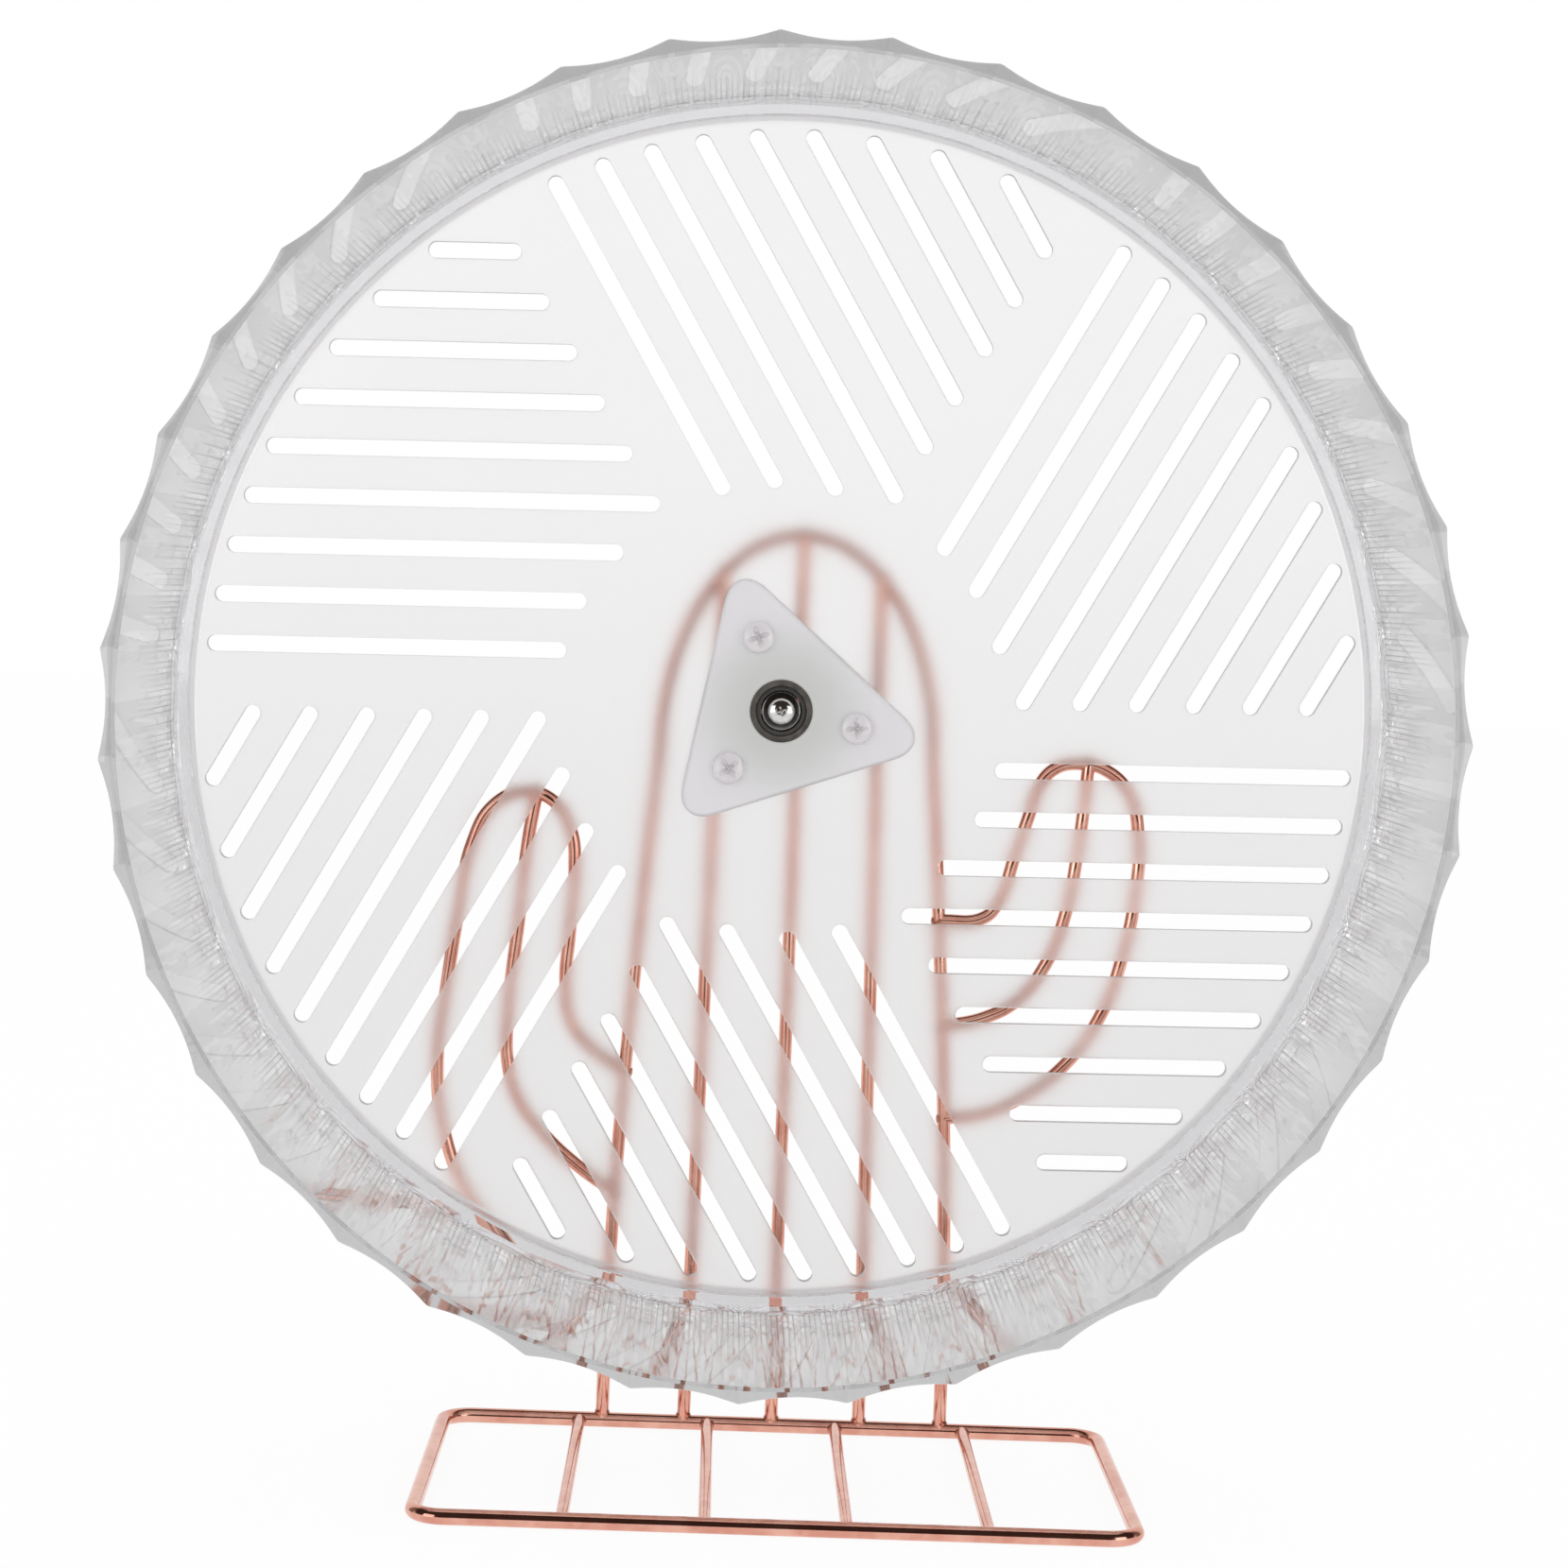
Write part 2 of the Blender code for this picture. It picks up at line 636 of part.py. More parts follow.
def make_seals(label, front, wheel):
    """Two rubber discs that fit in the outer ring and run close to the inner one."""
    seal_outer = outer_land - BORE_FIT
    seal_inner = inner_land + SEAL_RUNNING_GAP
    rear_seal = front + BEARING_WIDTH - SEAL_RECESS - SEAL_THICKNESS
    for side, seal_front in (("front", front + SEAL_RECESS), ("rear", rear_seal)):
        seal_back = seal_front + SEAL_THICKNESS
        seal = turned(
            f"{label}_bearing_{side}_seal",
            [
                (seal_outer, seal_front), (seal_outer, seal_back),
                (seal_inner, seal_back), (seal_inner, seal_front),
            ],
            BEARING_STEPS,
        )
        place(seal, wheel, "seal")


def make_balls(label, front, cage):
    """The balls, and the cage whose pockets they sit in. It is open at the front, so that it
    snaps over them."""
    middle = front + BEARING_WIDTH / 2
    cage_front = middle - CAGE_PRONG
    cage_back = front + BEARING_WIDTH - SEAL_RECESS - SEAL_THICKNESS - CAGE_GAP
    cage_outer = ball_circle + CAGE_WALL / 2
    cage_inner = ball_circle - CAGE_WALL / 2
    ring = turned(
        f"{label}_bearing_cage",
        [
            (cage_outer, cage_front), (cage_outer, cage_back),
            (cage_inner, cage_back), (cage_inner, cage_front),
        ],
        BEARING_STEPS,
    )
    for number in range(1, BALLS + 1):
        x, up = on_circle(ball_circle, 2 * math.pi * number / BALLS)
        centre = at_axle(x, middle, up)
        ball = ball_object(f"{label}_bearing_ball_{number}", centre, ball_radius)
        place(ball, cage, "bright_steel")
        pocket_size = ball_radius + POCKET_CLEARANCE
        pocket = ball_object(f"{label}_cage_pocket_{number}", centre, pocket_size, "cutters")
        cut(ring, pocket)
    place(ring, cage, "nylon")


def ball_object(name, centre, radius, collection="hamster_wheel"):
    mesh = bpy.data.meshes.new(name)
    work = bmesh.new()
    bmesh.ops.create_uvsphere(
        work, u_segments=BALL_SEGMENTS, v_segments=BALL_RINGS, radius=radius
    )
    work.to_mesh(mesh)
    work.free()
    mesh.shade_smooth()
    obj = new_object(name, mesh, collection)
    obj.location = centre
    return obj


# Axle


def make_axle(stand):
    """The bolt, the sleeve between the two inner rings and the plate that the bolt screws into,
    which is welded to the front of the trunk's ribs."""
    bolt_seat = front_bearing_at - SEAT_GAP
    bolt = headed_pin(
        "axle_bolt", BOLT_HEAD_DIAMETER / 2, BOLT_HEAD_HEIGHT, bolt_radius,
        bolt_seat, mount_plate_end - BOLT_END_SETBACK, BEARING_STEPS,
    )
    recess = cross_recess(
        "axle_bolt_recess", BOLT_HEAD_DIAMETER / 2, BOLT_HEAD_HEIGHT, bolt_seat
    )
    cut(bolt, recess)
    place(bolt, stand, "bright_steel")

    spacer_end = rear_bearing_at - SEAT_GAP
    spacer = turned(
        "inner_ring_spacer",
        [
            (clamp_radius, shoulder_at), (clamp_radius, spacer_end),
            (bore_radius, spacer_end), (bore_radius, shoulder_at),
        ],
        BEARING_STEPS,
    )
    place(spacer, stand, "steel")

    plate_radius = MOUNT_PLATE_DIAMETER / 2
    mount = turned(
        "axle_mount",
        [
            (clamp_radius, housing_end), (clamp_radius, mount_plate_at),
            (plate_radius, mount_plate_at), (plate_radius, mount_plate_end),
            (bore_radius, mount_plate_end), (bore_radius, housing_end),
        ],
        MOUNT_STEPS,
    )
    place(mount, stand, "rose_gold")


# Stand


def base_loop():
    """The centre line of the base, a rectangle with rounded corners."""
    radius = BASE_CORNER_RADIUS
    left = STAND_OFFSET - BASE_WIDTH / 2 + radius
    right = STAND_OFFSET + BASE_WIDTH / 2 - radius
    front = front_rail_y + radius
    rear = trunk_y - radius
    corners = ((right, rear), (left, rear), (left, front), (right, front))
    points = []
    for number, centre in enumerate(corners):
        start = number * math.pi / 2
        points += arc(centre, radius, start, start + math.pi / 2, BASE_CORNER_STEPS)
    return [(x, y, rail_height) for x, y in points]


def trunk_half(height):
    """Half the arch's width at a height: an ellipse above the shoulder, flared legs below it."""
    rise = height - shoulder_height
    if rise >= 0:
        return TRUNK_SHOULDER_HALF * math.sqrt(max(0.0, 1 - (rise / trunk_crown) ** 2))
    down_share = min(1.0, -rise / (shoulder_height - foot_height))
    flare = TRUNK_FOOT_HALF - TRUNK_SHOULDER_HALF
    return TRUNK_SHOULDER_HALF + flare * math.sin(down_share * math.pi / 2)


def trunk_points():
    leg = shoulder_height - foot_height
    heights = [foot_height + leg * step / LEG_STEPS for step in range(LEG_STEPS)]
    left = [(STAND_OFFSET - trunk_half(height), trunk_y, height) for height in heights]
    right = [(STAND_OFFSET + trunk_half(height), trunk_y, height) for height in reversed(heights)]
    crown = []
    for step in range(ARCH_STEPS + 1):
        angle = math.pi * (1 - step / ARCH_STEPS)
        across = TRUNK_SHOULDER_HALF * math.cos(angle)
        rise = trunk_crown * math.sin(angle)
        crown.append((STAND_OFFSET + across, trunk_y, shoulder_height + rise))
    return left + crown + right


def rib_points(side):
    """A rib from the rear rail up to the arch: side is -1, 0 or 1."""
    across = side * RIB_SPACING_TOP
    top = shoulder_height + trunk_crown * math.sqrt(1 - (across / TRUNK_SHOULDER_HALF) ** 2)
    foot = (STAND_OFFSET + side * RIB_SPACING_FOOT, trunk_y, foot_height)
    return [foot, (STAND_OFFSET + across, trunk_y, top)]


def arm_points(shares, side, root, height, reach, on_leg):
    """An arm's wire from its shares. Its ends that meet the trunk are put on the leg's centre
    line: the last row always, and the first row on the loop."""
    root_x = trunk_half(root)
    rows = [[root_x + across * reach, root + up * height] for across, up in shares]
    for row in on_leg:
        rows[row][0] = trunk_half(rows[row][1])
    curve = smooth(rows, BEND_STEPS)
    return [(STAND_OFFSET + side * x, trunk_y, z) for x, z in curve]


def make_arm(label, side, root, height, reach, loop_shares, rib_shares, trunk_cutter, stand):
    loop_line = arm_points(loop_shares, side, root, height, reach, (0, -1))
    loop = wire(f"{label}_arm_loop", loop_line, UPRIGHT_WIRE)
    loop_cutter = wire_cutter(f"{label}_arm_loop_grown", loop_line, UPRIGHT_WIRE)
    rib_line = arm_points(rib_shares, side, root, height, reach, (-1,))
    rib = wire(f"{label}_arm_rib", rib_line, UPRIGHT_WIRE)
    cut(loop, trunk_cutter)
    cut(rib, trunk_cutter)
    cut(rib, loop_cutter)
    for piece in (loop, rib):
        place(piece, stand, "rose_gold")


def make_stand(stand):
    base_points = base_loop()
    place(wire("base_frame", base_points, RAIL_WIRE, True), stand, "rose_gold")
    base_cutter = wire_cutter("base_frame_grown", base_points, RAIL_WIRE, True)
    for number in range(1, CROSSBARS + 1):
        x = STAND_OFFSET + BASE_WIDTH * CROSSBAR_PITCH_SHARE * (number - (CROSSBARS + 1) / 2)
        ends = [(x, front_rail_y, rail_height), (x, trunk_y, rail_height)]
        bar = wire(f"base_crossbar_{number}", ends, CROSSBAR_WIRE)
        cut(bar, base_cutter)
        place(bar, stand, "rose_gold")

    arch_points = trunk_points()
    place(wire("trunk_arch", arch_points, UPRIGHT_WIRE), stand, "rose_gold")
    trunk_cutter = wire_cutter("trunk_arch_grown", arch_points, UPRIGHT_WIRE)
    for label, side in (("left", -1), ("centre", 0), ("right", 1)):
        rib = wire(f"trunk_rib_{label}", rib_points(side), UPRIGHT_WIRE)
        cut(rib, trunk_cutter)
        place(rib, stand, "rose_gold")
    make_arm("left", -1, LEFT_ARM_ROOT_HEIGHT, LEFT_ARM_HEIGHT, LEFT_ARM_REACH,
             LEFT_LOOP_SHARES, LEFT_RIB_SHARES, trunk_cutter, stand)
    make_arm("right", 1, RIGHT_ARM_ROOT_HEIGHT, RIGHT_ARM_HEIGHT, RIGHT_ARM_REACH,
             RIGHT_LOOP_SHARES, RIGHT_RIB_SHARES, trunk_cutter, stand)


def add_body(name, location):
    """An empty on a joint's axis, which carries the pieces that move together."""
    body = new_object(name, None)
    body.location = location
    return body


def main():
    clear_scene()
    stand = add_body("stand", (0, 0, 0))
    wheel = add_body("wheel", at_axle(0, 0, 0))
    make_drum(wheel)
    make_back_disc(wheel)
    make_hub_plate(wheel)
    make_housing(wheel)
    make_hub_screws(wheel)
    for label, front in (("front", front_bearing_at), ("rear", rear_bearing_at)):
        make_rings(label, front, stand, wheel)
        make_seals(label, front, wheel)
        make_balls(label, front, add_body(f"{label}_cage", at_axle(0, 0, 0)))
    make_axle(stand)
    make_stand(stand)


main()
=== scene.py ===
# %% [markdown]
# # A hamster exercise wheel
#
# The real wheel is a clear fluted drum with a frosted, slotted back. It turns on two small ball
# bearings in front of a stand of rose-gold plated wire, bent into the outline of a cactus.
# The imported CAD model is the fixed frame: it gives every place and size. This lesson makes a
# finer piece around each of its parts that shows, and gives all of them their real finish.

# %% Load the frame
import json
import math

import bmesh
import bpy
from mathutils import Matrix, Vector


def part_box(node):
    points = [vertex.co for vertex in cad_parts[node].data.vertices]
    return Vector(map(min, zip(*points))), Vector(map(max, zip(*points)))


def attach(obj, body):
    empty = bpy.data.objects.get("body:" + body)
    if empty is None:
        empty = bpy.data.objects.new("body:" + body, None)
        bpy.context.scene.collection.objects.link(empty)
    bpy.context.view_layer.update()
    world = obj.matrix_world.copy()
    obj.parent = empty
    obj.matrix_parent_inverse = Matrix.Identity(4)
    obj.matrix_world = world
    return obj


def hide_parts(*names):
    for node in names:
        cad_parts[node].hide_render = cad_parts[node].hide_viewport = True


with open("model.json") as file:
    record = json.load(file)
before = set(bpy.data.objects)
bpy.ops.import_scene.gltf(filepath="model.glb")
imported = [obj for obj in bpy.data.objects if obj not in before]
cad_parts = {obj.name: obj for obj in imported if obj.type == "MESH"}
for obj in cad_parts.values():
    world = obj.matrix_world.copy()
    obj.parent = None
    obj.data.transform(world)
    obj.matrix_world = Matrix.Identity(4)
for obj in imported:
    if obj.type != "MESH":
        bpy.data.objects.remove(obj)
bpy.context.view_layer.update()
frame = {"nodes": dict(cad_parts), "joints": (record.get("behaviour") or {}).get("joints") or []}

# %% [markdown]
# ## Measures
#
# Sizes are written in millimetres, as on a drawing, and turned to metres where they are used.
# The axle's place comes from the joint that the wheel turns on, and the drum's front edge from
# the drum's box. Depths are measured back from that edge, as in the CAD.

# %% Find the axle and the drum's front
MM = 0.001
UNDER = Vector((0, 0, -1))
BACK = Vector((0, 1, 0))
WELD = 0.0005 * MM

spin_joint = next(joint for joint in frame["joints"] if joint["name"] == "wheel_spin")
drum_low, drum_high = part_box("drum")
axle = Vector((spin_joint["pos_m"][0], drum_low.y, spin_joint["pos_m"][2]))
drum_radius = (drum_high.x - drum_low.x) / 2 / MM
drum_depth = (drum_high.y - drum_low.y) / MM
print(f"axle {axle.z / MM:.1f} mm up, drum {2 * drum_radius:.1f} x {drum_depth:.1f} mm")

# %% [markdown]
# ## Camera
#
# The photograph was taken from a little above the axle's height, about 0.8 m in front. The
# camera is turned slightly to the right and down, and rolled a little. The lens is a short
# telephoto one. These values were worked out from the drum's rims and the base.

# %% Set up the camera
CAMERA_PLACE = Vector((-13.7, -817.2, 211.0)) * MM
CAMERA_YAW, CAMERA_PITCH, CAMERA_ROLL = (math.radians(a) for a in (1.014, -3.143, 2.19))
SENSOR = 36.0
LENS = 80.46

camera_data = bpy.data.cameras.new("camera")
camera_data.sensor_width = SENSOR
camera_data.lens = LENS
camera_data.clip_start = 10 * MM
camera_data.clip_end = 100
camera = bpy.data.objects.new("camera", camera_data)
bpy.context.scene.collection.objects.link(camera)
camera.matrix_world = (
    Matrix.Translation(CAMERA_PLACE)
    @ Matrix.Rotation(-CAMERA_YAW, 4, "Z")
    @ Matrix.Rotation(math.pi / 2 + CAMERA_PITCH, 4, "X")
    @ Matrix.Rotation(CAMERA_ROLL, 4, "Z")
)
bpy.context.scene.camera = camera
bpy.context.scene.view_settings.view_transform = "Standard"
print("camera at", [round(value, 4) for value in camera.location])

# %% [markdown]
# ## Helpers for materials
#
# Colours are written as the sRGB hex values that a colour picker shows, and the shaders want
# linear light, so one function turns them. Another adds a node with its settings and links:
# a socket takes a number, a colour, a node or one of a node's outputs.

# %% Colour and node helpers
def linear(hex_colour, alpha=1.0):
    """An sRGB colour such as "#DB9C86" as the linear colour that a shader takes."""
    channels = [int(hex_colour[i:i + 2], 16) / 255 for i in (1, 3, 5)]
    light = [c / 12.92 if c <= 0.04045 else ((c + 0.055) / 1.055) ** 2.4 for c in channels]
    return (*light, alpha)


def node(tree, kind, sockets=None, **settings):
    """Adds a shader node with its settings, and fills or links its input sockets."""
    made = tree.nodes.new("ShaderNode" + kind)
    for name, value in settings.items():
        setattr(made, name, value)
    for key, value in (sockets or {}).items():
        if isinstance(value, bpy.types.Node):
            value = value.outputs[0]
        if isinstance(value, bpy.types.NodeSocket):
            tree.links.new(value, made.inputs[key])
        else:
            made.inputs[key].default_value = value
    return made


def start_material(name, **values):
    """A material with one Principled shader, whose sockets get these values."""
    material = bpy.data.materials.new(name)
    material.use_nodes = True
    shader = material.node_tree.nodes["Principled BSDF"]
    for socket, value in values.items():
        shader.inputs[socket.replace("_", " ")].default_value = value
    return material, material.node_tree, shader


def plug(tree, shader, **sources):
    """Links nodes, or their outputs, to the shader's sockets."""
    for socket, source in sources.items():
        if isinstance(source, bpy.types.Node):
            source = source.outputs[0]
        tree.links.new(source, shader.inputs[socket.replace("_", " ")])


print("rose gold is", [round(c, 3) for c in linear("#DB9C86")])

# %% [markdown]
# ## The studio
#
# Product photographs like this one are taken on a white sweep with large soft lamps. The world
# is that room. What the camera sees directly is white, and so is what it sees straight through
# clear plastic. Light that clear plastic bends far aside comes from the room's grey walls,
# which are brighter high up, near the lamps.
# Polished metal mirrors the room in more detail: it is dark overhead, between the two lamps
# where the camera stands, and where the sweep ends at the sides. Those dark parts give plated
# wire its brown core and its thin brown lines. The light that falls on the piece is plain.

# %% Build the world
ROOM_DARK = linear("#3A322E")
ROOM_SIDE = linear("#8A827E")
ROOM_WHITE = linear("#F6F5F4")
ROOM_LEVEL = 0.72
WALL_LEVEL = 0.6
HIGH_WALL_LEVEL = 0.9
CAMERA_GAP = 0.36
FLOOR_GLOW = 1.03
SOFT = {"interpolation_type": "SMOOTHSTEP"}
COLOURS = {"data_type": "RGBA"}

world = bpy.data.worlds.new("studio")
bpy.context.scene.world = world
world.use_nodes = True
sky = world.node_tree
sky.nodes.clear()
direction = node(sky, "SeparateXYZ", {0: node(sky, "TexCoord").outputs["Generated"]})
rays = node(sky, "LightPath")


def in_camera_gap(tree, across, along):
    """How much of the dark gap between the lamps lies in a direction, or at a place in front."""
    aside = node(tree, "Math", {0: across}, operation="ABSOLUTE")
    beyond = node(tree, "Math", {0: along, 1: CAMERA_GAP, 2: aside}, operation="MULTIPLY_ADD")
    return node(tree, "MapRange", {0: beyond, 1: -0.1, 2: 0.02, 3: 1.0, 4: 0.0}, **SOFT)


overhead = node(sky, "MapRange", {0: direction.outputs["Z"], 1: 0.0, 2: 0.15}, **SOFT)
toward_front = node(sky, "Math", {0: direction.outputs["Y"], 1: -0.866}, operation="MULTIPLY")
front_tilt = node(sky, "Math", {0: direction.outputs["Z"], 1: 0.5, 2: toward_front},
                  operation="MULTIPLY_ADD")
front_share = node(sky, "MapRange", {0: front_tilt, 1: -0.05, 2: 0.2}, **SOFT)
room_share = node(sky, "Math", {0: overhead, 1: front_share}, operation="MULTIPLY")
camera_gap = in_camera_gap(sky, direction.outputs["X"], direction.outputs["Y"])
room_share = node(sky, "Math", {0: room_share, 1: camera_gap}, operation="MAXIMUM")
side_start = node(sky, "MapRange", {0: direction.outputs["Y"], 1: 0.05, 2: 0.2}, **SOFT)
side_end = node(sky, "MapRange", {0: direction.outputs["Y"], 1: 0.45, 2: 0.6, 3: 1.0, 4: 0.0},
                **SOFT)
side_share = node(sky, "Math", {0: side_start, 1: side_end}, operation="MULTIPLY")
lit = node(sky, "Mix", {0: side_share, 6: ROOM_WHITE, 7: ROOM_SIDE}, **COLOURS)
mirrored = node(sky, "Mix", {0: room_share, 6: lit.outputs[2], 7: ROOM_DARK}, **COLOURS)
wall_light = node(sky, "MapRange", {0: direction.outputs["Z"], 1: 0.08, 2: 0.4, 3: WALL_LEVEL,
                                    4: HIGH_WALL_LEVEL}, **SOFT)
straight = node(sky, "MapRange", {0: direction.outputs["Y"], 1: 0.45, 2: 0.8, 3: wall_light},
                **SOFT)
seen_through = node(sky, "CombineXYZ", {0: straight, 1: straight, 2: straight})
with_metal = node(sky, "Mix", {0: rays.outputs["Is Glossy Ray"],
                               6: (ROOM_LEVEL, ROOM_LEVEL, ROOM_LEVEL, 1),
                               7: mirrored.outputs[2]}, **COLOURS)
with_glass = node(sky, "Mix", {0: rays.outputs["Is Transmission Ray"], 6: with_metal.outputs[2],
                               7: seen_through}, **COLOURS)
with_camera = node(sky, "Mix", {0: rays.outputs["Is Camera Ray"], 6: with_glass.outputs[2],
                                7: (1, 1, 1, 1)}, **COLOURS)
background = node(sky, "Background", {"Color": with_camera.outputs[2], "Strength": 1.0})
node(sky, "OutputWorld", {"Surface": background})
print("world nodes:", len(sky.nodes))

# %% [markdown]
# Two large softboxes stand to the left and right of the camera and light the front evenly.
# Their size keeps the shadows soft, and their mirror images are the bright lines on the wire.

# %% Add the lamps
LAMP_SIZE = 0.8
LAMP_WATTS = 3.4
LAMP_ASIDE, LAMP_FRONT, LAMP_HEIGHT = 0.95, -1.0, 0.35

for side, name in ((-1, "left_softbox"), (1, "right_softbox")):
    lamp_data = bpy.data.lights.new(name, "AREA")
    lamp_data.size = LAMP_SIZE
    lamp_data.energy = LAMP_WATTS
    lamp = bpy.data.objects.new(name, lamp_data)
    bpy.context.scene.collection.objects.link(lamp)
    lamp.location = (side * LAMP_ASIDE, LAMP_FRONT, LAMP_HEIGHT)
    lamp.rotation_euler = (axle - lamp.location).to_track_quat("-Z", "Y").to_euler()
    print(name, "shines", LAMP_WATTS, "W")

# %% [markdown]
# The floor is a plain pale sheet. Rays from the camera and from metal find most of its white as
# its own colour, and the rest is lit, so that a light shadow stays. Through plastic more of the
# shadow shows. Metal also mirrors the end of the sheet in front, where the camera stands.

# %% Lay the floor
FLOOR_OWN_WHITE = 0.9
FLOOR_THROUGH_PLASTIC = 0.55
SHEET_END, SHEET_FADE = 0.55, 0.15

bpy.ops.object.select_all(action="DESELECT")
bpy.ops.mesh.primitive_plane_add(size=12, location=UNDER * 0.05 * MM)
floor = bpy.context.object
floor.name = "floor"
bpy.ops.object.transform_apply()
paper, tree, shader = start_material("white_paper_sweep", Roughness=0.9)
shader.inputs["Base Color"].default_value = linear("#F4F4F4")
shader.inputs["Specular IOR Level"].default_value = 0.0
rays = node(tree, "LightPath")
place = node(tree, "SeparateXYZ", {0: node(tree, "TexCoord").outputs["Object"]})
share = node(tree, "Math", {0: rays.outputs["Is Camera Ray"], 1: rays.outputs["Is Glossy Ray"]},
             operation="MAXIMUM")
share = node(tree, "Math", {0: share, 1: FLOOR_OWN_WHITE}, operation="MULTIPLY")
through = node(tree, "Math", {0: rays.outputs["Is Transmission Ray"], 1: FLOOR_THROUGH_PLASTIC},
               operation="MULTIPLY")
share = node(tree, "Mix", {0: rays.outputs["Is Transmission Ray"], 2: share, 3: through})
sheet_end = node(tree, "MapRange", {0: place.outputs["Y"], 1: -SHEET_END - SHEET_FADE,
                                    2: -SHEET_END, 3: 1.0, 4: 0.0}, **SOFT)
gap = in_camera_gap(tree, place.outputs["X"], place.outputs["Y"])
gap = node(tree, "Math", {0: gap, 1: sheet_end}, operation="MULTIPLY")
gap = node(tree, "Math", {0: gap, 1: rays.outputs["Is Glossy Ray"]}, operation="MULTIPLY")
paper_colour = node(tree, "Mix", {0: gap, 6: (1, 1, 1, 1), 7: ROOM_DARK}, **COLOURS)
own_white = node(tree, "Emission", {"Color": paper_colour.outputs[2], "Strength": FLOOR_GLOW})
mixed = node(tree, "MixShader", {0: share, 1: shader, 2: own_white})
tree.links.new(mixed.outputs[0], tree.nodes["Material Output"].inputs["Surface"])
floor.data.materials.append(paper)
print("floor laid at", floor.location.z)

# %% [markdown]
# ## Helpers for modelling
#
# An operator acts on everything that is selected, so each piece starts with nothing selected.
# A turned piece starts as one vertex, which is extruded from corner to corner of its profile
# and then spun about the axle, as on a lathe. Faces and edges are picked by place.

# %% Modelling helpers
def edit_mode():
    """Goes into edit mode on the active object."""
    bpy.ops.object.mode_set(mode="EDIT")


def object_mode():
    """Goes back to object mode."""
    bpy.ops.object.mode_set(mode="OBJECT")


def select_everything():
    """In edit mode, selects the whole mesh."""
    bpy.ops.mesh.select_all(action="SELECT")


def add_primitive(name, operator, stretch=(1, 1, 1), **settings):
    """Adds a primitive with nothing else selected, and applies its place, turn and stretch."""
    bpy.ops.object.select_all(action="DESELECT")
    operator(**settings)
    piece = bpy.context.object
    piece.name = name
    piece.scale = stretch
    bpy.ops.object.transform_apply()
    return piece


def pick(piece, kind, test):
    """In edit mode, selects only the verts, edges or faces that pass the test."""
    modes = {"verts": "VERT", "edges": "EDGE", "faces": "FACE"}
    bpy.ops.mesh.select_mode(type=modes[kind])
    bpy.ops.mesh.select_all(action="DESELECT")
    shape = bmesh.from_edit_mesh(piece.data)
    for element in getattr(shape, kind):
        if test(element):
            element.select_set(True)
    shape.select_flush_mode()
    bmesh.update_edit_mesh(piece.data)


def close_up():
    """In edit mode, merges what lies on the same spot and turns the faces outwards."""
    bpy.ops.mesh.select_mode(type="VERT")
    select_everything()
    bpy.ops.mesh.remove_doubles(threshold=WELD)
    bpy.ops.mesh.normals_make_consistent(inside=False)


def turn_profile(name, corners, steps, start=0.0, sweep=2 * math.pi, centre=axle):
    """Spins a chain of (radius, depth) corners, in mm, about a line along the axle."""
    out = Vector((math.cos(start), 0, math.sin(start)))
    places = [centre + out * radius * MM + BACK * depth * MM for radius, depth in corners]
    piece = add_primitive(name, bpy.ops.mesh.primitive_plane_add, size=MM, location=places[0])
    edit_mode()
    bpy.ops.mesh.select_mode(type="VERT")
    select_everything()
    bpy.ops.mesh.merge(type="CENTER")
    for here, there in zip(places, places[1:]):
        bpy.ops.mesh.extrude_region_move(TRANSFORM_OT_translate={"value": there - here})
    select_everything()
    bpy.ops.mesh.spin(steps=steps, angle=sweep, center=centre, axis=BACK)
    close_up()
    object_mode()
    return piece


def modify(piece, kind, **settings):
    """Adds a modifier and applies it."""
    modifier = piece.modifiers.new(kind.lower(), kind)
    for name, value in settings.items():
        setattr(modifier, name, value)
    bpy.context.view_layer.objects.active = piece
    bpy.ops.object.modifier_apply(modifier=modifier.name)


def combine(piece, tool, operation="DIFFERENCE", **settings):
    """Cuts the tool out of the piece, or joins it on, and throws the tool away."""
    modify(piece, "BOOLEAN", operation=operation, solver="EXACT", object=tool, **settings)
    bpy.data.objects.remove(tool)


def join(name, pieces):
    """Joins pieces into one mesh."""
    bpy.ops.object.select_all(action="DESELECT")
    for piece in pieces:
        piece.select_set(True)
    bpy.context.view_layer.objects.active = pieces[0]
    bpy.ops.object.join()
    pieces[0].name = name
    return pieces[0]


total_triangles = 0


def finish_piece(piece, body, slot, material, *nodes, smooth=35, flats=False):
    """Shades the piece, gives it its finish, and says what it rides on and stands for."""
    global total_triangles
    bpy.ops.object.select_all(action="DESELECT")
    piece.select_set(True)
    bpy.context.view_layer.objects.active = piece
    bpy.ops.object.transform_apply()
    bpy.ops.object.shade_smooth_by_angle(angle=math.radians(smooth))
    if flats:
        modify(piece, "WEIGHTED_NORMAL", weight=100, keep_sharp=True)
    piece.data.materials.clear()
    piece.data.materials.append(material)
    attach(piece, body)
    if nodes:
        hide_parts(*nodes)
    triangles = sum(len(face.vertices) - 2 for face in piece.data.polygons)
    total_triangles += triangles
    print(f"{piece.name}: {triangles} triangles, rides on {body}, stands for {list(nodes)}")
    return piece


print("helpers are ready")
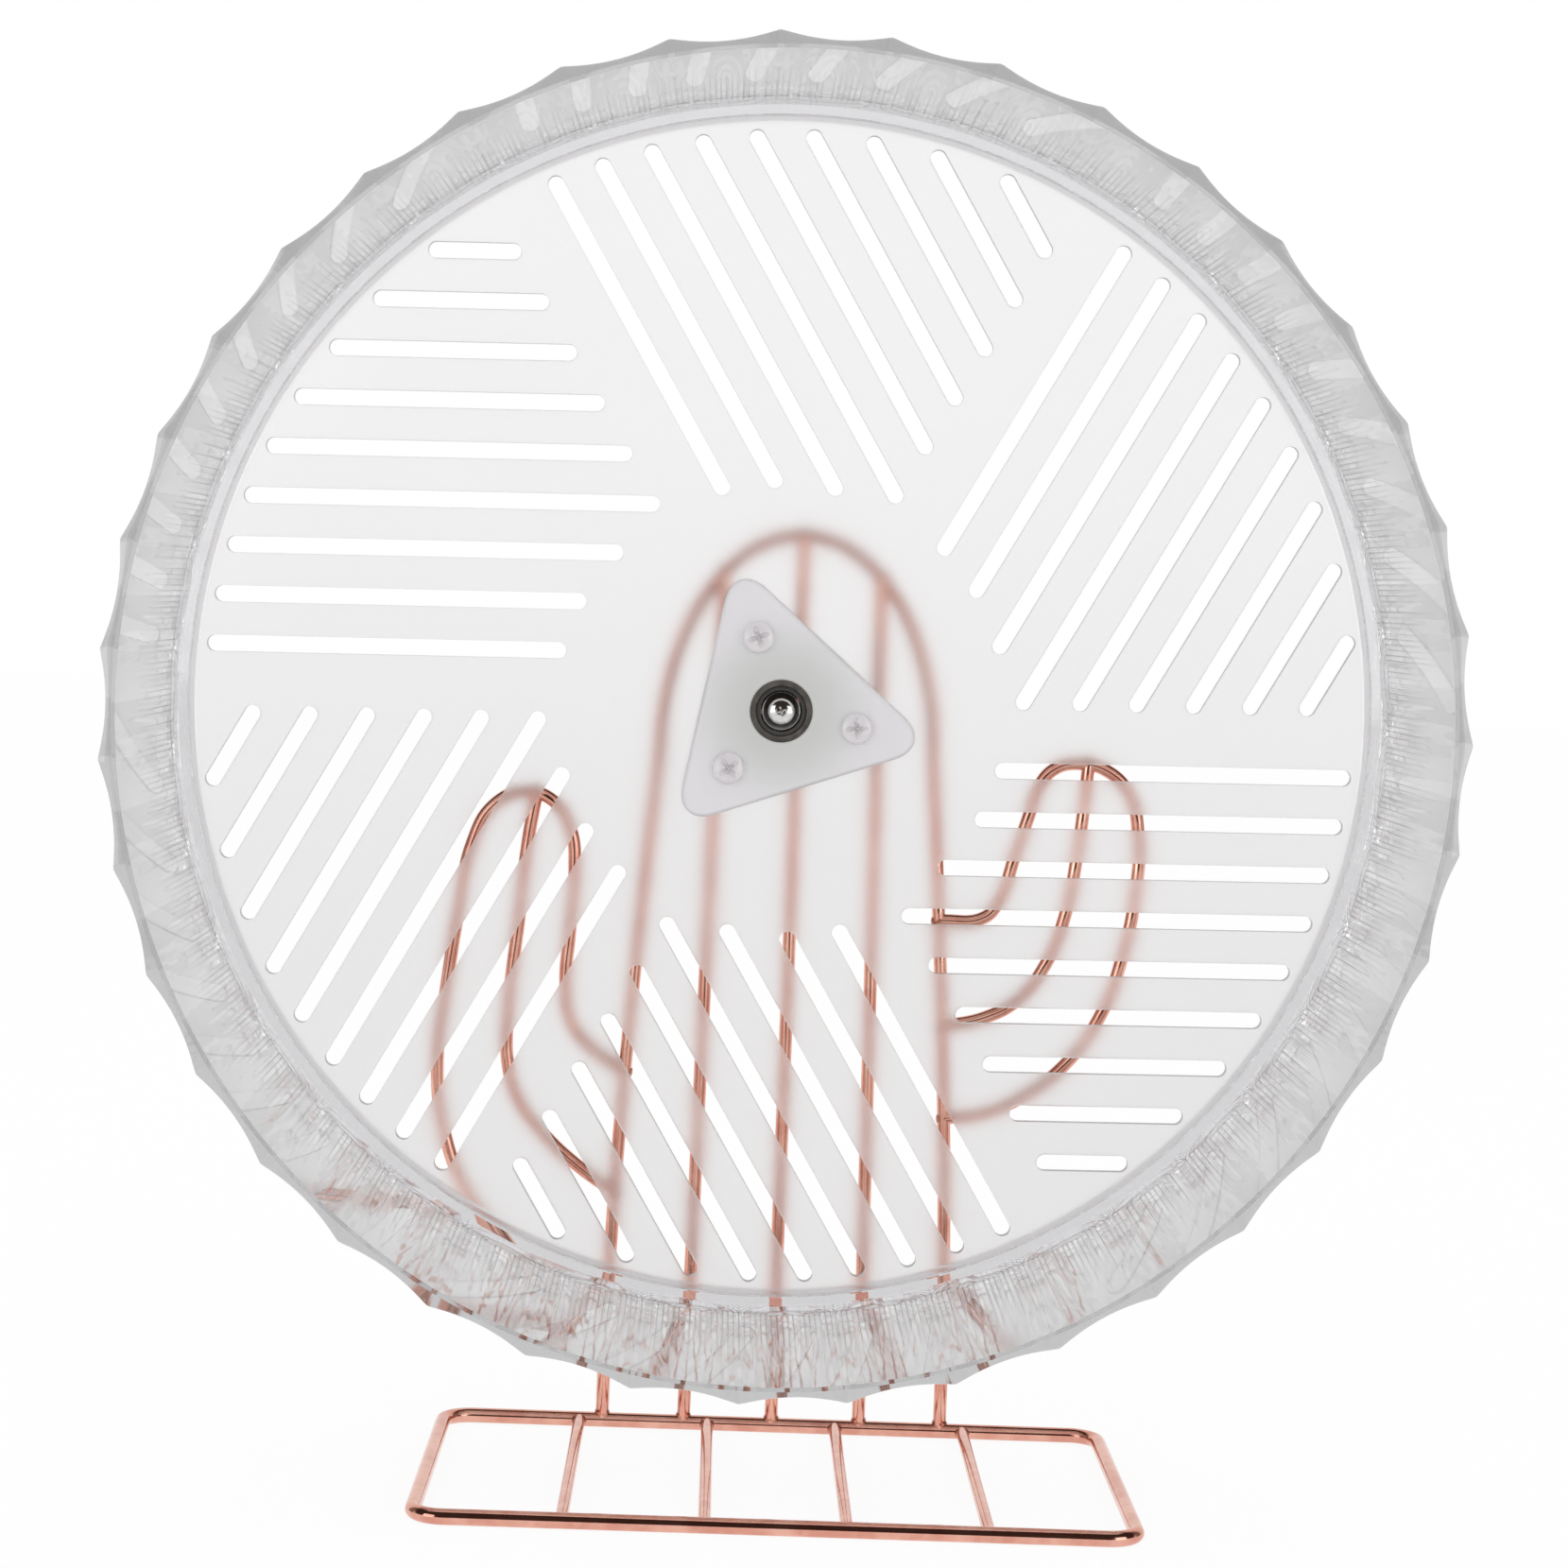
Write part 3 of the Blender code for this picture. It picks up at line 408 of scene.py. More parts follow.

# %% [markdown]
# ## Clear polystyrene
#
# The drum and the hub's screws are injection moulded from clear polystyrene, which is glassy
# and a little grey in its depth, with an IOR near 1.58. The mould for each flute was cut layer
# by layer, so contour lines run along it and turn in nested U shapes where it runs out. They
# are 1.3 mm apart, shallow bumps drawn about 0.4 mm wide, wider than the real ones, so that
# they show. The dark that their bending of light gives is painted along them in grey, as
# painted shade. Finer streaks lie between them, drawn 0.7 mm apart, also bumps with painted
# grey shade. The plain collar is painted a shade greyer, as painted shade.
# Lamps shine through clear plastic, so its shadow is made see-through with Light Path.

# %% Make the clear polystyrene
FLUTES = 39
FIRST_RIDGE = math.radians(92.7)
FADE_START = 77.8
FADE_LENGTH = 14.0
CONTOURS = 9
CUTTER_LINE_HEIGHT = 0.003 * MM
WALL_LINE_PITCH = 0.7 * MM
WALL_LINE_HEIGHT = 0.003 * MM
# The next three greys are painted shade on the clear wall, not the plastic's own colour.
LINE_SHADE_GREY = linear("#66656A")
COLLAR_SHADE_GREY = linear("#E6E5E7")
STREAK_SHADE_GREY = linear("#C4C3C6")
DEPTH_TINT = 5.0
LINES_START, LINES_FULL = 12 * MM, 66 * MM
COLLAR_START, COLLAR_FULL = 88.5 * MM, 89.8 * MM
OUTER_SKIN, TRACK_RADIUS = 147.2 * MM, 146 * MM
LAMP_TINT = linear("#DADBDC")


def let_lamps_through(tree, shader):
    """Mixes in a clear shader for shadow rays, so that lamps shine through."""
    rays = node(tree, "LightPath")
    clear = node(tree, "BsdfTransparent", {"Color": LAMP_TINT})
    mixed = node(tree, "MixShader", {0: rays.outputs["Is Shadow Ray"], 1: shader, 2: clear})
    tree.links.new(mixed.outputs[0], tree.nodes["Material Output"].inputs["Surface"])


def axle_coordinates(tree):
    """Object coordinates with their zero on the axle at the drum's front, and the radius."""
    place = node(tree, "TexCoord").outputs["Object"]
    centred = node(tree, "Mapping", {0: place, "Location": -axle})
    parts = node(tree, "SeparateXYZ", {0: centred})
    flat = node(tree, "CombineXYZ", {0: parts.outputs["X"], 2: parts.outputs["Z"]})
    radius = node(tree, "VectorMath", {0: flat}, operation="LENGTH")
    return centred, parts, radius.outputs["Value"]


clear_drum, tree, shader = start_material(
    "clear_moulded_polystyrene", Roughness=0.04, IOR=1.58, Transmission_Weight=1.0,
)
depth_tint = node(tree, "VolumeAbsorption", {"Color": (0, 0, 0, 1), "Density": DEPTH_TINT})
tree.links.new(depth_tint.outputs[0], tree.nodes["Material Output"].inputs["Volume"])
centred, parts, radius = axle_coordinates(tree)
angle = node(tree, "Math", {0: parts.outputs["Z"], 1: parts.outputs["X"]}, operation="ARCTAN2")
flute = node(tree, "Math",
             {0: angle, 1: FLUTES / (2 * math.pi), 2: -FIRST_RIDGE * FLUTES / (2 * math.pi)},
             operation="MULTIPLY_ADD")
across = node(tree, "Math", {0: flute}, operation="FRACT")
across = node(tree, "Math", {0: across, 1: 2.0, 2: -1.0}, operation="MULTIPLY_ADD")
along = node(tree, "MapRange", {0: parts.outputs["Y"], 1: FADE_START * MM,
                                2: (FADE_START + FADE_LENGTH) * MM}, clamp=False)
along = node(tree, "Math", {0: along, 1: 0.0}, operation="MAXIMUM")
level = node(tree, "VectorMath", {0: node(tree, "CombineXYZ", {0: across, 1: along})},
             operation="LENGTH")
contour = node(tree, "Math", {0: level.outputs["Value"], 1: CONTOURS}, operation="MULTIPLY")
waves = node(tree, "Math", {0: contour, 1: 2 * math.pi}, operation="MULTIPLY")
waves = node(tree, "Math", {0: waves}, operation="COSINE")
lines = node(tree, "Math", {0: waves, 1: CUTTER_LINE_HEIGHT}, operation="MULTIPLY")
outside = node(tree, "Math", {0: radius, 1: OUTER_SKIN}, operation="GREATER_THAN")
depth = parts.outputs["Y"]
near_end = node(tree, "MapRange", {0: depth, 1: LINES_START, 2: LINES_FULL}, **SOFT)
cut_here = node(tree, "Math", {0: near_end, 1: outside}, operation="MULTIPLY")
round_wall = node(tree, "Math", {0: angle, 1: TRACK_RADIUS / WALL_LINE_PITCH},
                  operation="MULTIPLY")
wall_noise = node(tree, "TexNoise", {"W": round_wall, "Scale": 1.0, "Detail": 2.0},
                  noise_dimensions="1D")
wall_lines = node(tree, "Math", {0: wall_noise, 1: WALL_LINE_HEIGHT}, operation="MULTIPLY")
height = node(tree, "Math", {0: lines, 1: cut_here, 2: wall_lines}, operation="MULTIPLY_ADD")
bump = node(tree, "Bump", {"Height": height, "Distance": 1.0, "Strength": 1.0})
which_line = node(tree, "Math", {0: contour, 1: flute}, operation="ADD")
each_line = node(tree, "TexNoise", {"W": which_line, "Scale": 0.9}, noise_dimensions="1D")
line_strength = node(tree, "MapRange", {0: each_line, 1: 0.3, 2: 0.5})
# Painted shade: the contour lines and the streaks between them are painted grey in the base
# colour, for the dark that their bending of light gives.
painted_line_shade = node(tree, "MapRange", {0: waves, 1: 0.45, 2: 1.0}, **SOFT)
painted_line_shade = node(tree, "Math", {0: painted_line_shade, 1: line_strength}, operation="MULTIPLY")
painted_line_shade = node(tree, "Math", {0: painted_line_shade, 1: near_end}, operation="MULTIPLY")
painted_streak_shade = node(tree, "MapRange", {0: wall_noise, 1: 0.45, 2: 0.7})
painted_streak_shade = node(tree, "Math", {0: painted_streak_shade, 1: near_end}, operation="MULTIPLY")
streak_shaded = node(tree, "Mix", {0: painted_streak_shade, 6: (1, 1, 1, 1), 7: STREAK_SHADE_GREY}, **COLOURS)
line_shaded = node(tree, "Mix", {0: painted_line_shade, 6: streak_shaded.outputs[2], 7: LINE_SHADE_GREY}, **COLOURS)
# Painted shade: the plain collar at the back is painted greyer.
in_collar = node(tree, "MapRange", {0: depth, 1: COLLAR_START, 2: COLLAR_FULL}, **SOFT)
collar_shaded = node(tree, "Mix", {0: in_collar, 6: line_shaded.outputs[2], 7: COLLAR_SHADE_GREY}, **COLOURS)
plug(tree, shader, Base_Color=collar_shaded.outputs[2], Normal=bump)
let_lamps_through(tree, shader)

clear_screw, tree, shader = start_material(
    "clear_screw_polystyrene", Base_Color=linear("#FDFAFC"), Roughness=0.09, IOR=1.58,
    Transmission_Weight=0.55,
)
ripple = node(tree, "TexNoise", {"Vector": node(tree, "TexCoord").outputs["Object"],
                                 "Scale": 1 / (1.2 * MM), "Detail": 2.0})
bump = node(tree, "Bump", {"Height": ripple, "Distance": 0.03 * MM, "Strength": 1.0})
plug(tree, shader, Normal=bump)
let_lamps_through(tree, shader)
print("a flute is", round(2 * math.pi * drum_radius / FLUTES, 2), "mm wide")

# %% [markdown]
# ## The running drum
#
# On the real wheel this is one moulding: a wall whose inside is a plain cylinder and whose
# outside has 39 shallow flutes. Each flute runs out in a U before a plain collar at the back.
# A whole flute could be cut with Booleans 39 times. It is quicker to spin the profile through
# one flute only, pull its outer corners in towards the axle row by row, and repeat that sector
# round the drum. The ridge between two flutes is slightly rounded, as a moulded edge is.

# %% Spin one flute
FLUTE_DEPTH = 1.9
FLUTE_SPOKES = 24
FADE_RINGS = 16
RIDGE_ROUNDING = 0.06
OUTER = drum_radius
TRACK, REBATE, LIP = 146.1, 144.1, 142.7
DISC_FRONT, LIP_FRONT = 90.0, 92.8

fade_depths = [FADE_START + FADE_LENGTH * math.sin(math.pi / 2 * ring / FADE_RINGS)
               for ring in range(FADE_RINGS + 1)]
drum_corners = [(TRACK + 0.8, 0), (OUTER - 0.35, 0), (OUTER - 0.1, 0.1), (OUTER, 0.35)]
drum_corners += [(OUTER, depth) for depth in fade_depths]
drum_corners += [
    (OUTER, drum_depth - 0.5), (OUTER - 0.15, drum_depth - 0.15), (OUTER - 0.5, drum_depth),
    (LIP + 0.4, drum_depth), (LIP + 0.1, drum_depth - 0.1), (LIP, drum_depth - 0.4),
    (LIP, LIP_FRONT + 0.3), (LIP + 0.3, LIP_FRONT), (REBATE, LIP_FRONT),
    (REBATE, DISC_FRONT + 0.25), (REBATE + 0.25, DISC_FRONT), (TRACK, DISC_FRONT),
    (TRACK, 0.8), (TRACK + 0.8, 0),
]
sector = 2 * math.pi / FLUTES
drum = turn_profile("running_drum", drum_corners, FLUTE_SPOKES, FIRST_RIDGE, sector)
print("one flute has", len(drum.data.vertices), "corners")


# %% Hollow the flute
def hollow_share(across, along):
    """How deep the flute is at a place, as a share: a parabola that runs out in a U."""
    q = max(0.0, 1 - (2 * across - 1) ** 2 - along ** 2)
    return (1 + RIDGE_ROUNDING) * q * q / (q + RIDGE_ROUNDING)


def share_across(point):
    """The share of the way across the flute, folded at its middle."""
    turned = (math.atan2(point.z - axle.z, point.x - axle.x) - FIRST_RIDGE) / sector
    share = turned % 1.0
    return min(share, 1 - share)


edit_mode()
for ring, depth in enumerate(fade_depths[:-1]):
    along = max(0.0, (depth - FADE_START) / FADE_LENGTH)
    for spoke in range(1, FLUTE_SPOKES // 2 + 1):
        across = spoke / FLUTE_SPOKES

        def in_row(vertex):
            point = vertex.co
            back = (point.y - axle.y) / MM
            if math.hypot(point.x - axle.x, point.z - axle.z) < (OUTER - 0.6) * MM:
                return False
            same_ring = back < FADE_START + 0.01 if ring == 0 else abs(back - depth) < 0.01
            return same_ring and abs(share_across(point) - across) < 0.2 / FLUTE_SPOKES

        pick(drum, "verts", in_row)
        size = 1 - FLUTE_DEPTH * hollow_share(across, along) / OUTER
        bpy.ops.transform.resize(value=(size, 1, size), center_override=axle)
select_everything()
bpy.ops.mesh.spin(steps=FLUTES - 1, angle=sector * (FLUTES - 1), dupli=True, center=axle,
                  axis=BACK)
close_up()
object_mode()
finish_piece(drum, "wheel", "clear_plastic", clear_drum, "drum", smooth=30)

# %% [markdown]
# ## Frosted polystyrene
#
# The back disc is moulded against an etched mould face, so its skin is frosted: light passes,
# but what lies behind it blurs. A rough transmissive Principled shader does just that. The
# etched grain is about 0.1 mm on the real one. It is drawn 0.7 mm wide, very shallow, so that
# it shows in a close view. The flow of the plastic leaves slightly glossier clouds. The walls
# of holes and slots turn light aside, so they look darker, and that darkness is painted into
# their colour as painted shade: their faces point away from the axle's direction, which the
# object's normal tells. The hub is cloudier polypropylene, and its middle is painted a little
# greyer, a painted shade that stands for the steel behind it showing through.

# %% Make the frosted polystyrene
GRAIN_WIDTH = 0.7 * MM
GRAIN_HEIGHT = 0.012 * MM
CLOUD_WIDTH = 40 * MM
GREY_INNER, GREY_OUTER = 8 * MM, 26 * MM


def frost(name, colour, painted_wall_shade, low, high, painted_middle_shade=None, **values):
    """A frosted plastic whose roughness drifts between two values in soft clouds, with painted
    shade on its hole walls and, for the hub, in its middle.
    """
    material, tree, shader = start_material(name, **values)
    coordinates = node(tree, "TexCoord")
    facing = node(tree, "SeparateXYZ", {0: coordinates.outputs["Normal"]})
    facing = node(tree, "Math", {0: facing.outputs["Y"]}, operation="ABSOLUTE")
    # Hole and slot walls, which face away from the axle's direction, get a darker colour: painted
    # shade.
    on_wall = node(tree, "MapRange", {0: facing, 1: 0.6, 2: 0.97, 3: 1.0, 4: 0.0}, **SOFT)
    tone = node(tree, "Mix", {0: on_wall, 6: linear(colour), 7: linear(painted_wall_shade)}, **COLOURS)
    # Painted shade: the hub's middle is painted greyer, for the steel and its shadow behind it.
    if painted_middle_shade:
        _, _, radius = axle_coordinates(tree)
        outward = node(tree, "MapRange", {0: radius, 1: GREY_INNER, 2: GREY_OUTER}, **SOFT)
        tone = node(tree, "Mix", {0: outward, 6: linear(painted_middle_shade), 7: tone.outputs[2]},
                    **COLOURS)
    place = coordinates.outputs["Object"]
    clouds = node(tree, "TexNoise", {"Vector": place, "Scale": 1 / CLOUD_WIDTH, "Detail": 1.0})
    roughness = node(tree, "MapRange", {0: clouds, 1: 0.3, 2: 0.7, 3: low, 4: high})
    grain = node(tree, "TexNoise", {"Vector": place, "Scale": 1 / GRAIN_WIDTH, "Detail": 2.0})
    bump = node(tree, "Bump", {"Height": grain, "Distance": GRAIN_HEIGHT, "Strength": 1.0})
    plug(tree, shader, Base_Color=tone.outputs[2], Roughness=roughness, Normal=bump)
    return material


frosted = frost("frosted_polystyrene", "#FBFAFA", "#B4B3B2", 0.32, 0.39, IOR=1.5,
                Transmission_Weight=1.0)
hub_frost = frost("frosted_hub_polypropylene", "#FDFBFE", "#FFFFFF", 0.5, 0.58, "#EAEBE9",
                  IOR=1.49, Transmission_Weight=0.3)
print("frosted materials are ready")

# %% [markdown]
# ## The slotted disc
#
# The back is a flat disc with six groups of nine level slots, and the groups are turned about
# the centre like a basket weave. One slot is a round bar stretched sideways. Nine of those
# make a group, the group is spun into six, and one Boolean cuts them all. A small bevel then
# rounds the rims, as the mould does, and it is what catches a bright line along each slot.

# %% Make the slot cutters
DISC_RADIUS, DISC_THICKNESS = 143.8, 2.5
SLOT_WIDTH, SLOT_PITCH, FIRST_SLOT = 4.0, 12.0, 13.5
SLOTS, GROUPS = 9, 6
FIELD_INNER, FIELD_OUTER = 54.2, 140.2
BAY_OFFSET = 1.66
GROUP_LEAN = math.radians(0.9)
SLOT_SIDES = 24

half_side = math.pi / SLOT_SIDES
bars = []
for number in range(SLOTS):
    drop = FIRST_SLOT + number * SLOT_PITCH
    beside_bay = drop / math.tan(math.pi / 3) + BAY_OFFSET / math.sin(math.pi / 3)
    start = max(math.sqrt(max(0.0, FIELD_INNER ** 2 - drop ** 2)), beside_bay)
    end = math.sqrt(FIELD_OUTER ** 2 - drop ** 2)
    middle = axle.x + (start + SLOT_WIDTH / 2) * MM
    bar = add_primitive(
        f"slot_bar_{number}", bpy.ops.mesh.primitive_cylinder_add, vertices=SLOT_SIDES,
        radius=SLOT_WIDTH / 2 / math.cos(half_side) * MM, depth=8 * MM,
        location=(middle, axle.y + (DISC_FRONT + DISC_THICKNESS / 2) * MM, axle.z - drop * MM),
        rotation=(math.pi / 2, half_side, 0),
    )
    edit_mode()
    pick(bar, "verts", lambda vertex: vertex.co.x > middle)
    bpy.ops.transform.translate(value=((end - start - SLOT_WIDTH) * MM, 0, 0))
    object_mode()
    bars.append(bar)
slot_cutter = join("slot_cutter", bars)
slot_cutter.matrix_world = (
    Matrix.Translation(axle) @ Matrix.Rotation(-GROUP_LEAN, 4, "Y") @ Matrix.Translation(-axle)
)
bpy.ops.object.transform_apply()
edit_mode()
select_everything()
bpy.ops.mesh.spin(steps=GROUPS - 1, angle=2 * math.pi * (GROUPS - 1) / GROUPS, dupli=True,
                  center=axle, axis=BACK)
object_mode()
print("slots:", SLOTS * GROUPS)

# %% Cut the disc
HUB_TURN = math.radians(109.2)
SCREW_CIRCLE = 18.8
screw_angles = [HUB_TURN + 2 * math.pi * corner / 3 for corner in range(3)]


def at_axle(radius, turn, depth):
    """A place in metres, from a radius and depth in mm and a turn seen from the front."""
    return axle + Vector((radius * math.cos(turn), depth, radius * math.sin(turn))) * MM


def pin(name, radius, front, back, centre, sides=32):
    """A plain round pin, to cut a hole with or as the start of the disc."""
    middle = centre + BACK * ((front + back) / 2 * MM)
    return add_primitive(name, bpy.ops.mesh.primitive_cylinder_add, vertices=sides,
                         radius=radius * MM, depth=(back - front) * MM, location=middle,
                         rotation=(math.pi / 2, 0, 0))


def drill(piece, radius, front, back):
    """Cuts the three screw holes."""
    for corner in screw_angles:
        combine(piece, pin("screw_hole", radius, front, back, at_axle(SCREW_CIRCLE, corner, 0)))


disc = pin("slotted_disc", DISC_RADIUS, DISC_FRONT, DISC_FRONT + DISC_THICKNESS, axle, FLUTES * 6)
combine(disc, slot_cutter)
combine(disc, pin("spigot_hole", 10.3, 85, 98, axle, 64))
drill(disc, 1.75, 85, 98)
modify(disc, "BEVEL", width=0.35 * MM, segments=3, limit_method="ANGLE",
       angle_limit=math.radians(50), harden_normals=False)
finish_piece(disc, "wheel", "frosted_plastic", frosted, "back_disc", smooth=30, flats=True)

# %% [markdown]
# ## The hub
#
# A triangular plate holds the front bearing. It starts as a circle of three corners, pushed
# back to its thickness. Its upright edges get a wide bevel and its rim a small one, which makes
# the soft edge of the moulding. The flange behind the disc has the same outline, and a tube
# through the middle carries both bearings.

# %% Make the hub plate and the housing
HUB_SHARP_RADIUS = 38.6
HUB_CORNER = 6.1
HUB_FRONT, HUB_BACK = 86.7, 89.7
FLANGE_FRONT, FLANGE_BACK = 92.8, 95.3


def rounded_triangle(name, front, back, rim):
    """The hub's outline as a plate, with round corners and a soft rim."""
    plate = add_primitive(
        name, bpy.ops.mesh.primitive_circle_add, vertices=3, radius=HUB_SHARP_RADIUS * MM,
        fill_type="NGON", location=axle + BACK * front * MM,
        rotation=(math.pi / 2, math.pi / 2 - HUB_TURN, 0),
    )
    edit_mode()
    select_everything()
    bpy.ops.mesh.extrude_region_move(
        TRANSFORM_OT_translate={"value": BACK * (back - front) * MM})
    close_up()
    pick(plate, "edges", lambda edge: abs(edge.verts[0].co.y - edge.verts[1].co.y) > MM)
    bpy.ops.mesh.bevel(offset=HUB_CORNER / math.tan(math.radians(30)) * MM, segments=14)
    object_mode()
    modify(plate, "BEVEL", width=rim * MM, segments=4, limit_method="ANGLE",
           angle_limit=math.radians(60))
    return plate


hub = rounded_triangle("hub_triangle", HUB_FRONT, HUB_BACK, 1.1)
combine(hub, turn_profile("hub_bore", [
    (0, 80), (8.0, 80), (8.0, 86.6), (7.6, 87.0), (7.6, 87.3), (10.3, 87.3), (10.3, 95), (0, 95),
], 96))
drill(hub, 1.55, 80, 95)
finish_piece(hub, "wheel", "hub_plastic", hub_frost, "hub_plate", smooth=30, flats=True)

housing = rounded_triangle("bearing_tube_and_flange", FLANGE_FRONT, FLANGE_BACK, 0.5)
combine(housing, turn_profile("tube", [(0, 87.6), (10, 87.6), (10, 101.0), (9.7, 101.3),
                                       (0, 101.3)], 96), "UNION")
combine(housing, turn_profile("tube_bore", [
    (0, 80), (8.1, 80), (8.1, 92.9), (6.9, 92.9), (6.9, 95.7), (8.1, 95.7), (8.1, 101.0),
    (8.4, 101.4), (8.4, 110), (0, 110),
], 96))
drill(housing, 1.55, 91, 97)
finish_piece(housing, "wheel", "frosted_plastic", frosted, "bearing_housing", smooth=30,
             flats=True)

# %% [markdown]
# ## Screws
#
# Three clear plastic screws hold plate, disc and housing together. Each head is a turned dome.
# Its cross recess is cut with four petals, squashed spheres that meet in the middle, which
# gives the rounded arms of a worn driver recess.

# %% Turn the screws
def cross_recess(name, centre, depth, reach, turn):
    """Four petals round a centre, joined into one cutter."""
    petals = []
    for quarter in range(4):
        angle = turn + quarter * math.pi / 2
        across = Vector((math.cos(angle), 0, math.sin(angle)))
        petal = add_primitive(
            f"{name}_{quarter}", bpy.ops.mesh.primitive_uv_sphere_add, segments=20,
            ring_count=12, radius=MM, location=centre + across * reach * 0.55 * MM,
            stretch=(reach * 0.5, depth, reach * 0.26), rotation=(0, -angle, 0),
        )
        petals.append(petal)
    return join(name, petals)


def headed(name, head, height, shank, seat, tip, recess, recess_turn, centre, sides=64):
    """A screw or bolt with a domed head in front of its seat and a cross in its top."""
    dome = [(head * math.sin(a), seat - height + height * 0.62 * (1 - math.cos(a)))
            for a in (math.radians(10 * step) for step in range(10))]
    profile = [*dome, (head, seat - 0.25), (head - 0.15, seat), (shank, seat),
               (shank, tip - 0.5), (shank - 0.4, tip), (0, tip)]
    profile[0] = (0, seat - height)
    piece = turn_profile(name, profile, sides, centre=centre)
    top = centre + BACK * (seat - height) * MM
    reach, recess_depth = recess
    cutter = cross_recess(name + "_recess", top, recess_depth, reach, recess_turn)
    combine(piece, cutter, use_self=True)
    return piece


SCREW_RECESS_TURNS = (20, 38, 5)
for number, (corner, turn) in enumerate(zip(screw_angles, SCREW_RECESS_TURNS), 1):
    screw = headed(f"clear_screw_{number}", 3.8, 1.8, 1.45, 86.4, 96.8, (2.7, 1.15),
                   math.radians(turn), at_axle(SCREW_CIRCLE, corner, 0))
    finish_piece(screw, "wheel", "clear_plastic", clear_screw, f"hub_screw_{number}", smooth=40)

# %% [markdown]
# ## Bearing steel, rubber and nylon
#
# The bearing's rings are ground from chrome steel, which leaves fine rings round the axle. The
# real ones are a few micrometres apart and are drawn 0.25 mm apart here. The seals are moulded
# rubber with a dull skin. The cages inside are natural nylon.

# %% Make the bearing's materials
GRINDING_PITCH = 0.25 * MM


def vary(tree, shader, noise, colour, shades, roughness, gloss):
    """Lets a noise vary the shader's tone and roughness between two shares of each."""
    shade = node(tree, "MapRange", {0: noise, 1: 0.3, 2: 0.7, 3: shades[0], 4: shades[1]})
    tone = node(tree, "VectorMath", {0: linear(colour)[:3], "Scale": shade}, operation="SCALE")
    rough = node(tree, "MapRange", {0: noise, 1: 0.3, 2: 0.7, 3: roughness * gloss[0],
                                    4: roughness * gloss[1]})
    plug(tree, shader, Base_Color=tone, Roughness=rough)


def ground_steel(name, colour, roughness, line_height):
    """Steel with grinding lines round the axle and faint cloudy handling marks."""
    material, tree, shader = start_material(name, Metallic=1.0)
    centred, _, radius = axle_coordinates(tree)
    marks = node(tree, "TexNoise", {"Vector": centred, "Scale": 1 / (1.5 * MM), "Detail": 3.0})
    vary(tree, shader, marks, colour, (0.88, 1.06), roughness, (0.85, 1.2))
    lines = node(tree, "Math", {0: radius, 1: 2 * math.pi / GRINDING_PITCH}, operation="MULTIPLY")
    lines = node(tree, "Math", {0: lines}, operation="SINE")
    bump = node(tree, "Bump", {"Height": lines, "Distance": line_height, "Strength": 1.0})
    plug(tree, shader, Normal=bump)
    return material


outer_steel = ground_steel("ground_bearing_steel", "#8F8A85", 0.34, 0.002 * MM)
inner_steel = ground_steel("honed_bearing_steel", "#7C7A78", 0.16, 0.0008 * MM)
bolt_steel = ground_steel("polished_bolt_steel", "#D4D3D1", 0.12, 0.0004 * MM)


def moulded(name, colour, roughness, grain, height):
    """A moulded plastic or rubber with a fine grain in its skin and tone."""
    material, tree, shader = start_material(name)
    skin = node(tree, "TexNoise", {"Vector": node(tree, "TexCoord").outputs["Object"],
                                   "Scale": 1 / (grain * MM), "Detail": 3.0})
    vary(tree, shader, skin, colour, (0.85, 1.15), roughness, (0.9, 1.1))
    bump = node(tree, "Bump", {"Height": skin, "Distance": height * MM, "Strength": 1.0})
    plug(tree, shader, Normal=bump)
    return material


seal_rubber = moulded("moulded_nitrile_rubber", "#3A3836", 0.5, 0.3, 0.01)
nylon = moulded("natural_nylon", "#CFC8B8", 0.45, 0.5, 0.01)
print("bearing materials are ready")

# %% [markdown]
# ## The ball bearings
#
# Seen from the front a sealed bearing is a set of rings: the satin outer ring, a dark groove,
# the rubber seal, and the polished inner ring with its bright chamfer. Each ring is turned from
# its own profile. The balls and cages stay as the CAD made them, behind the seals.

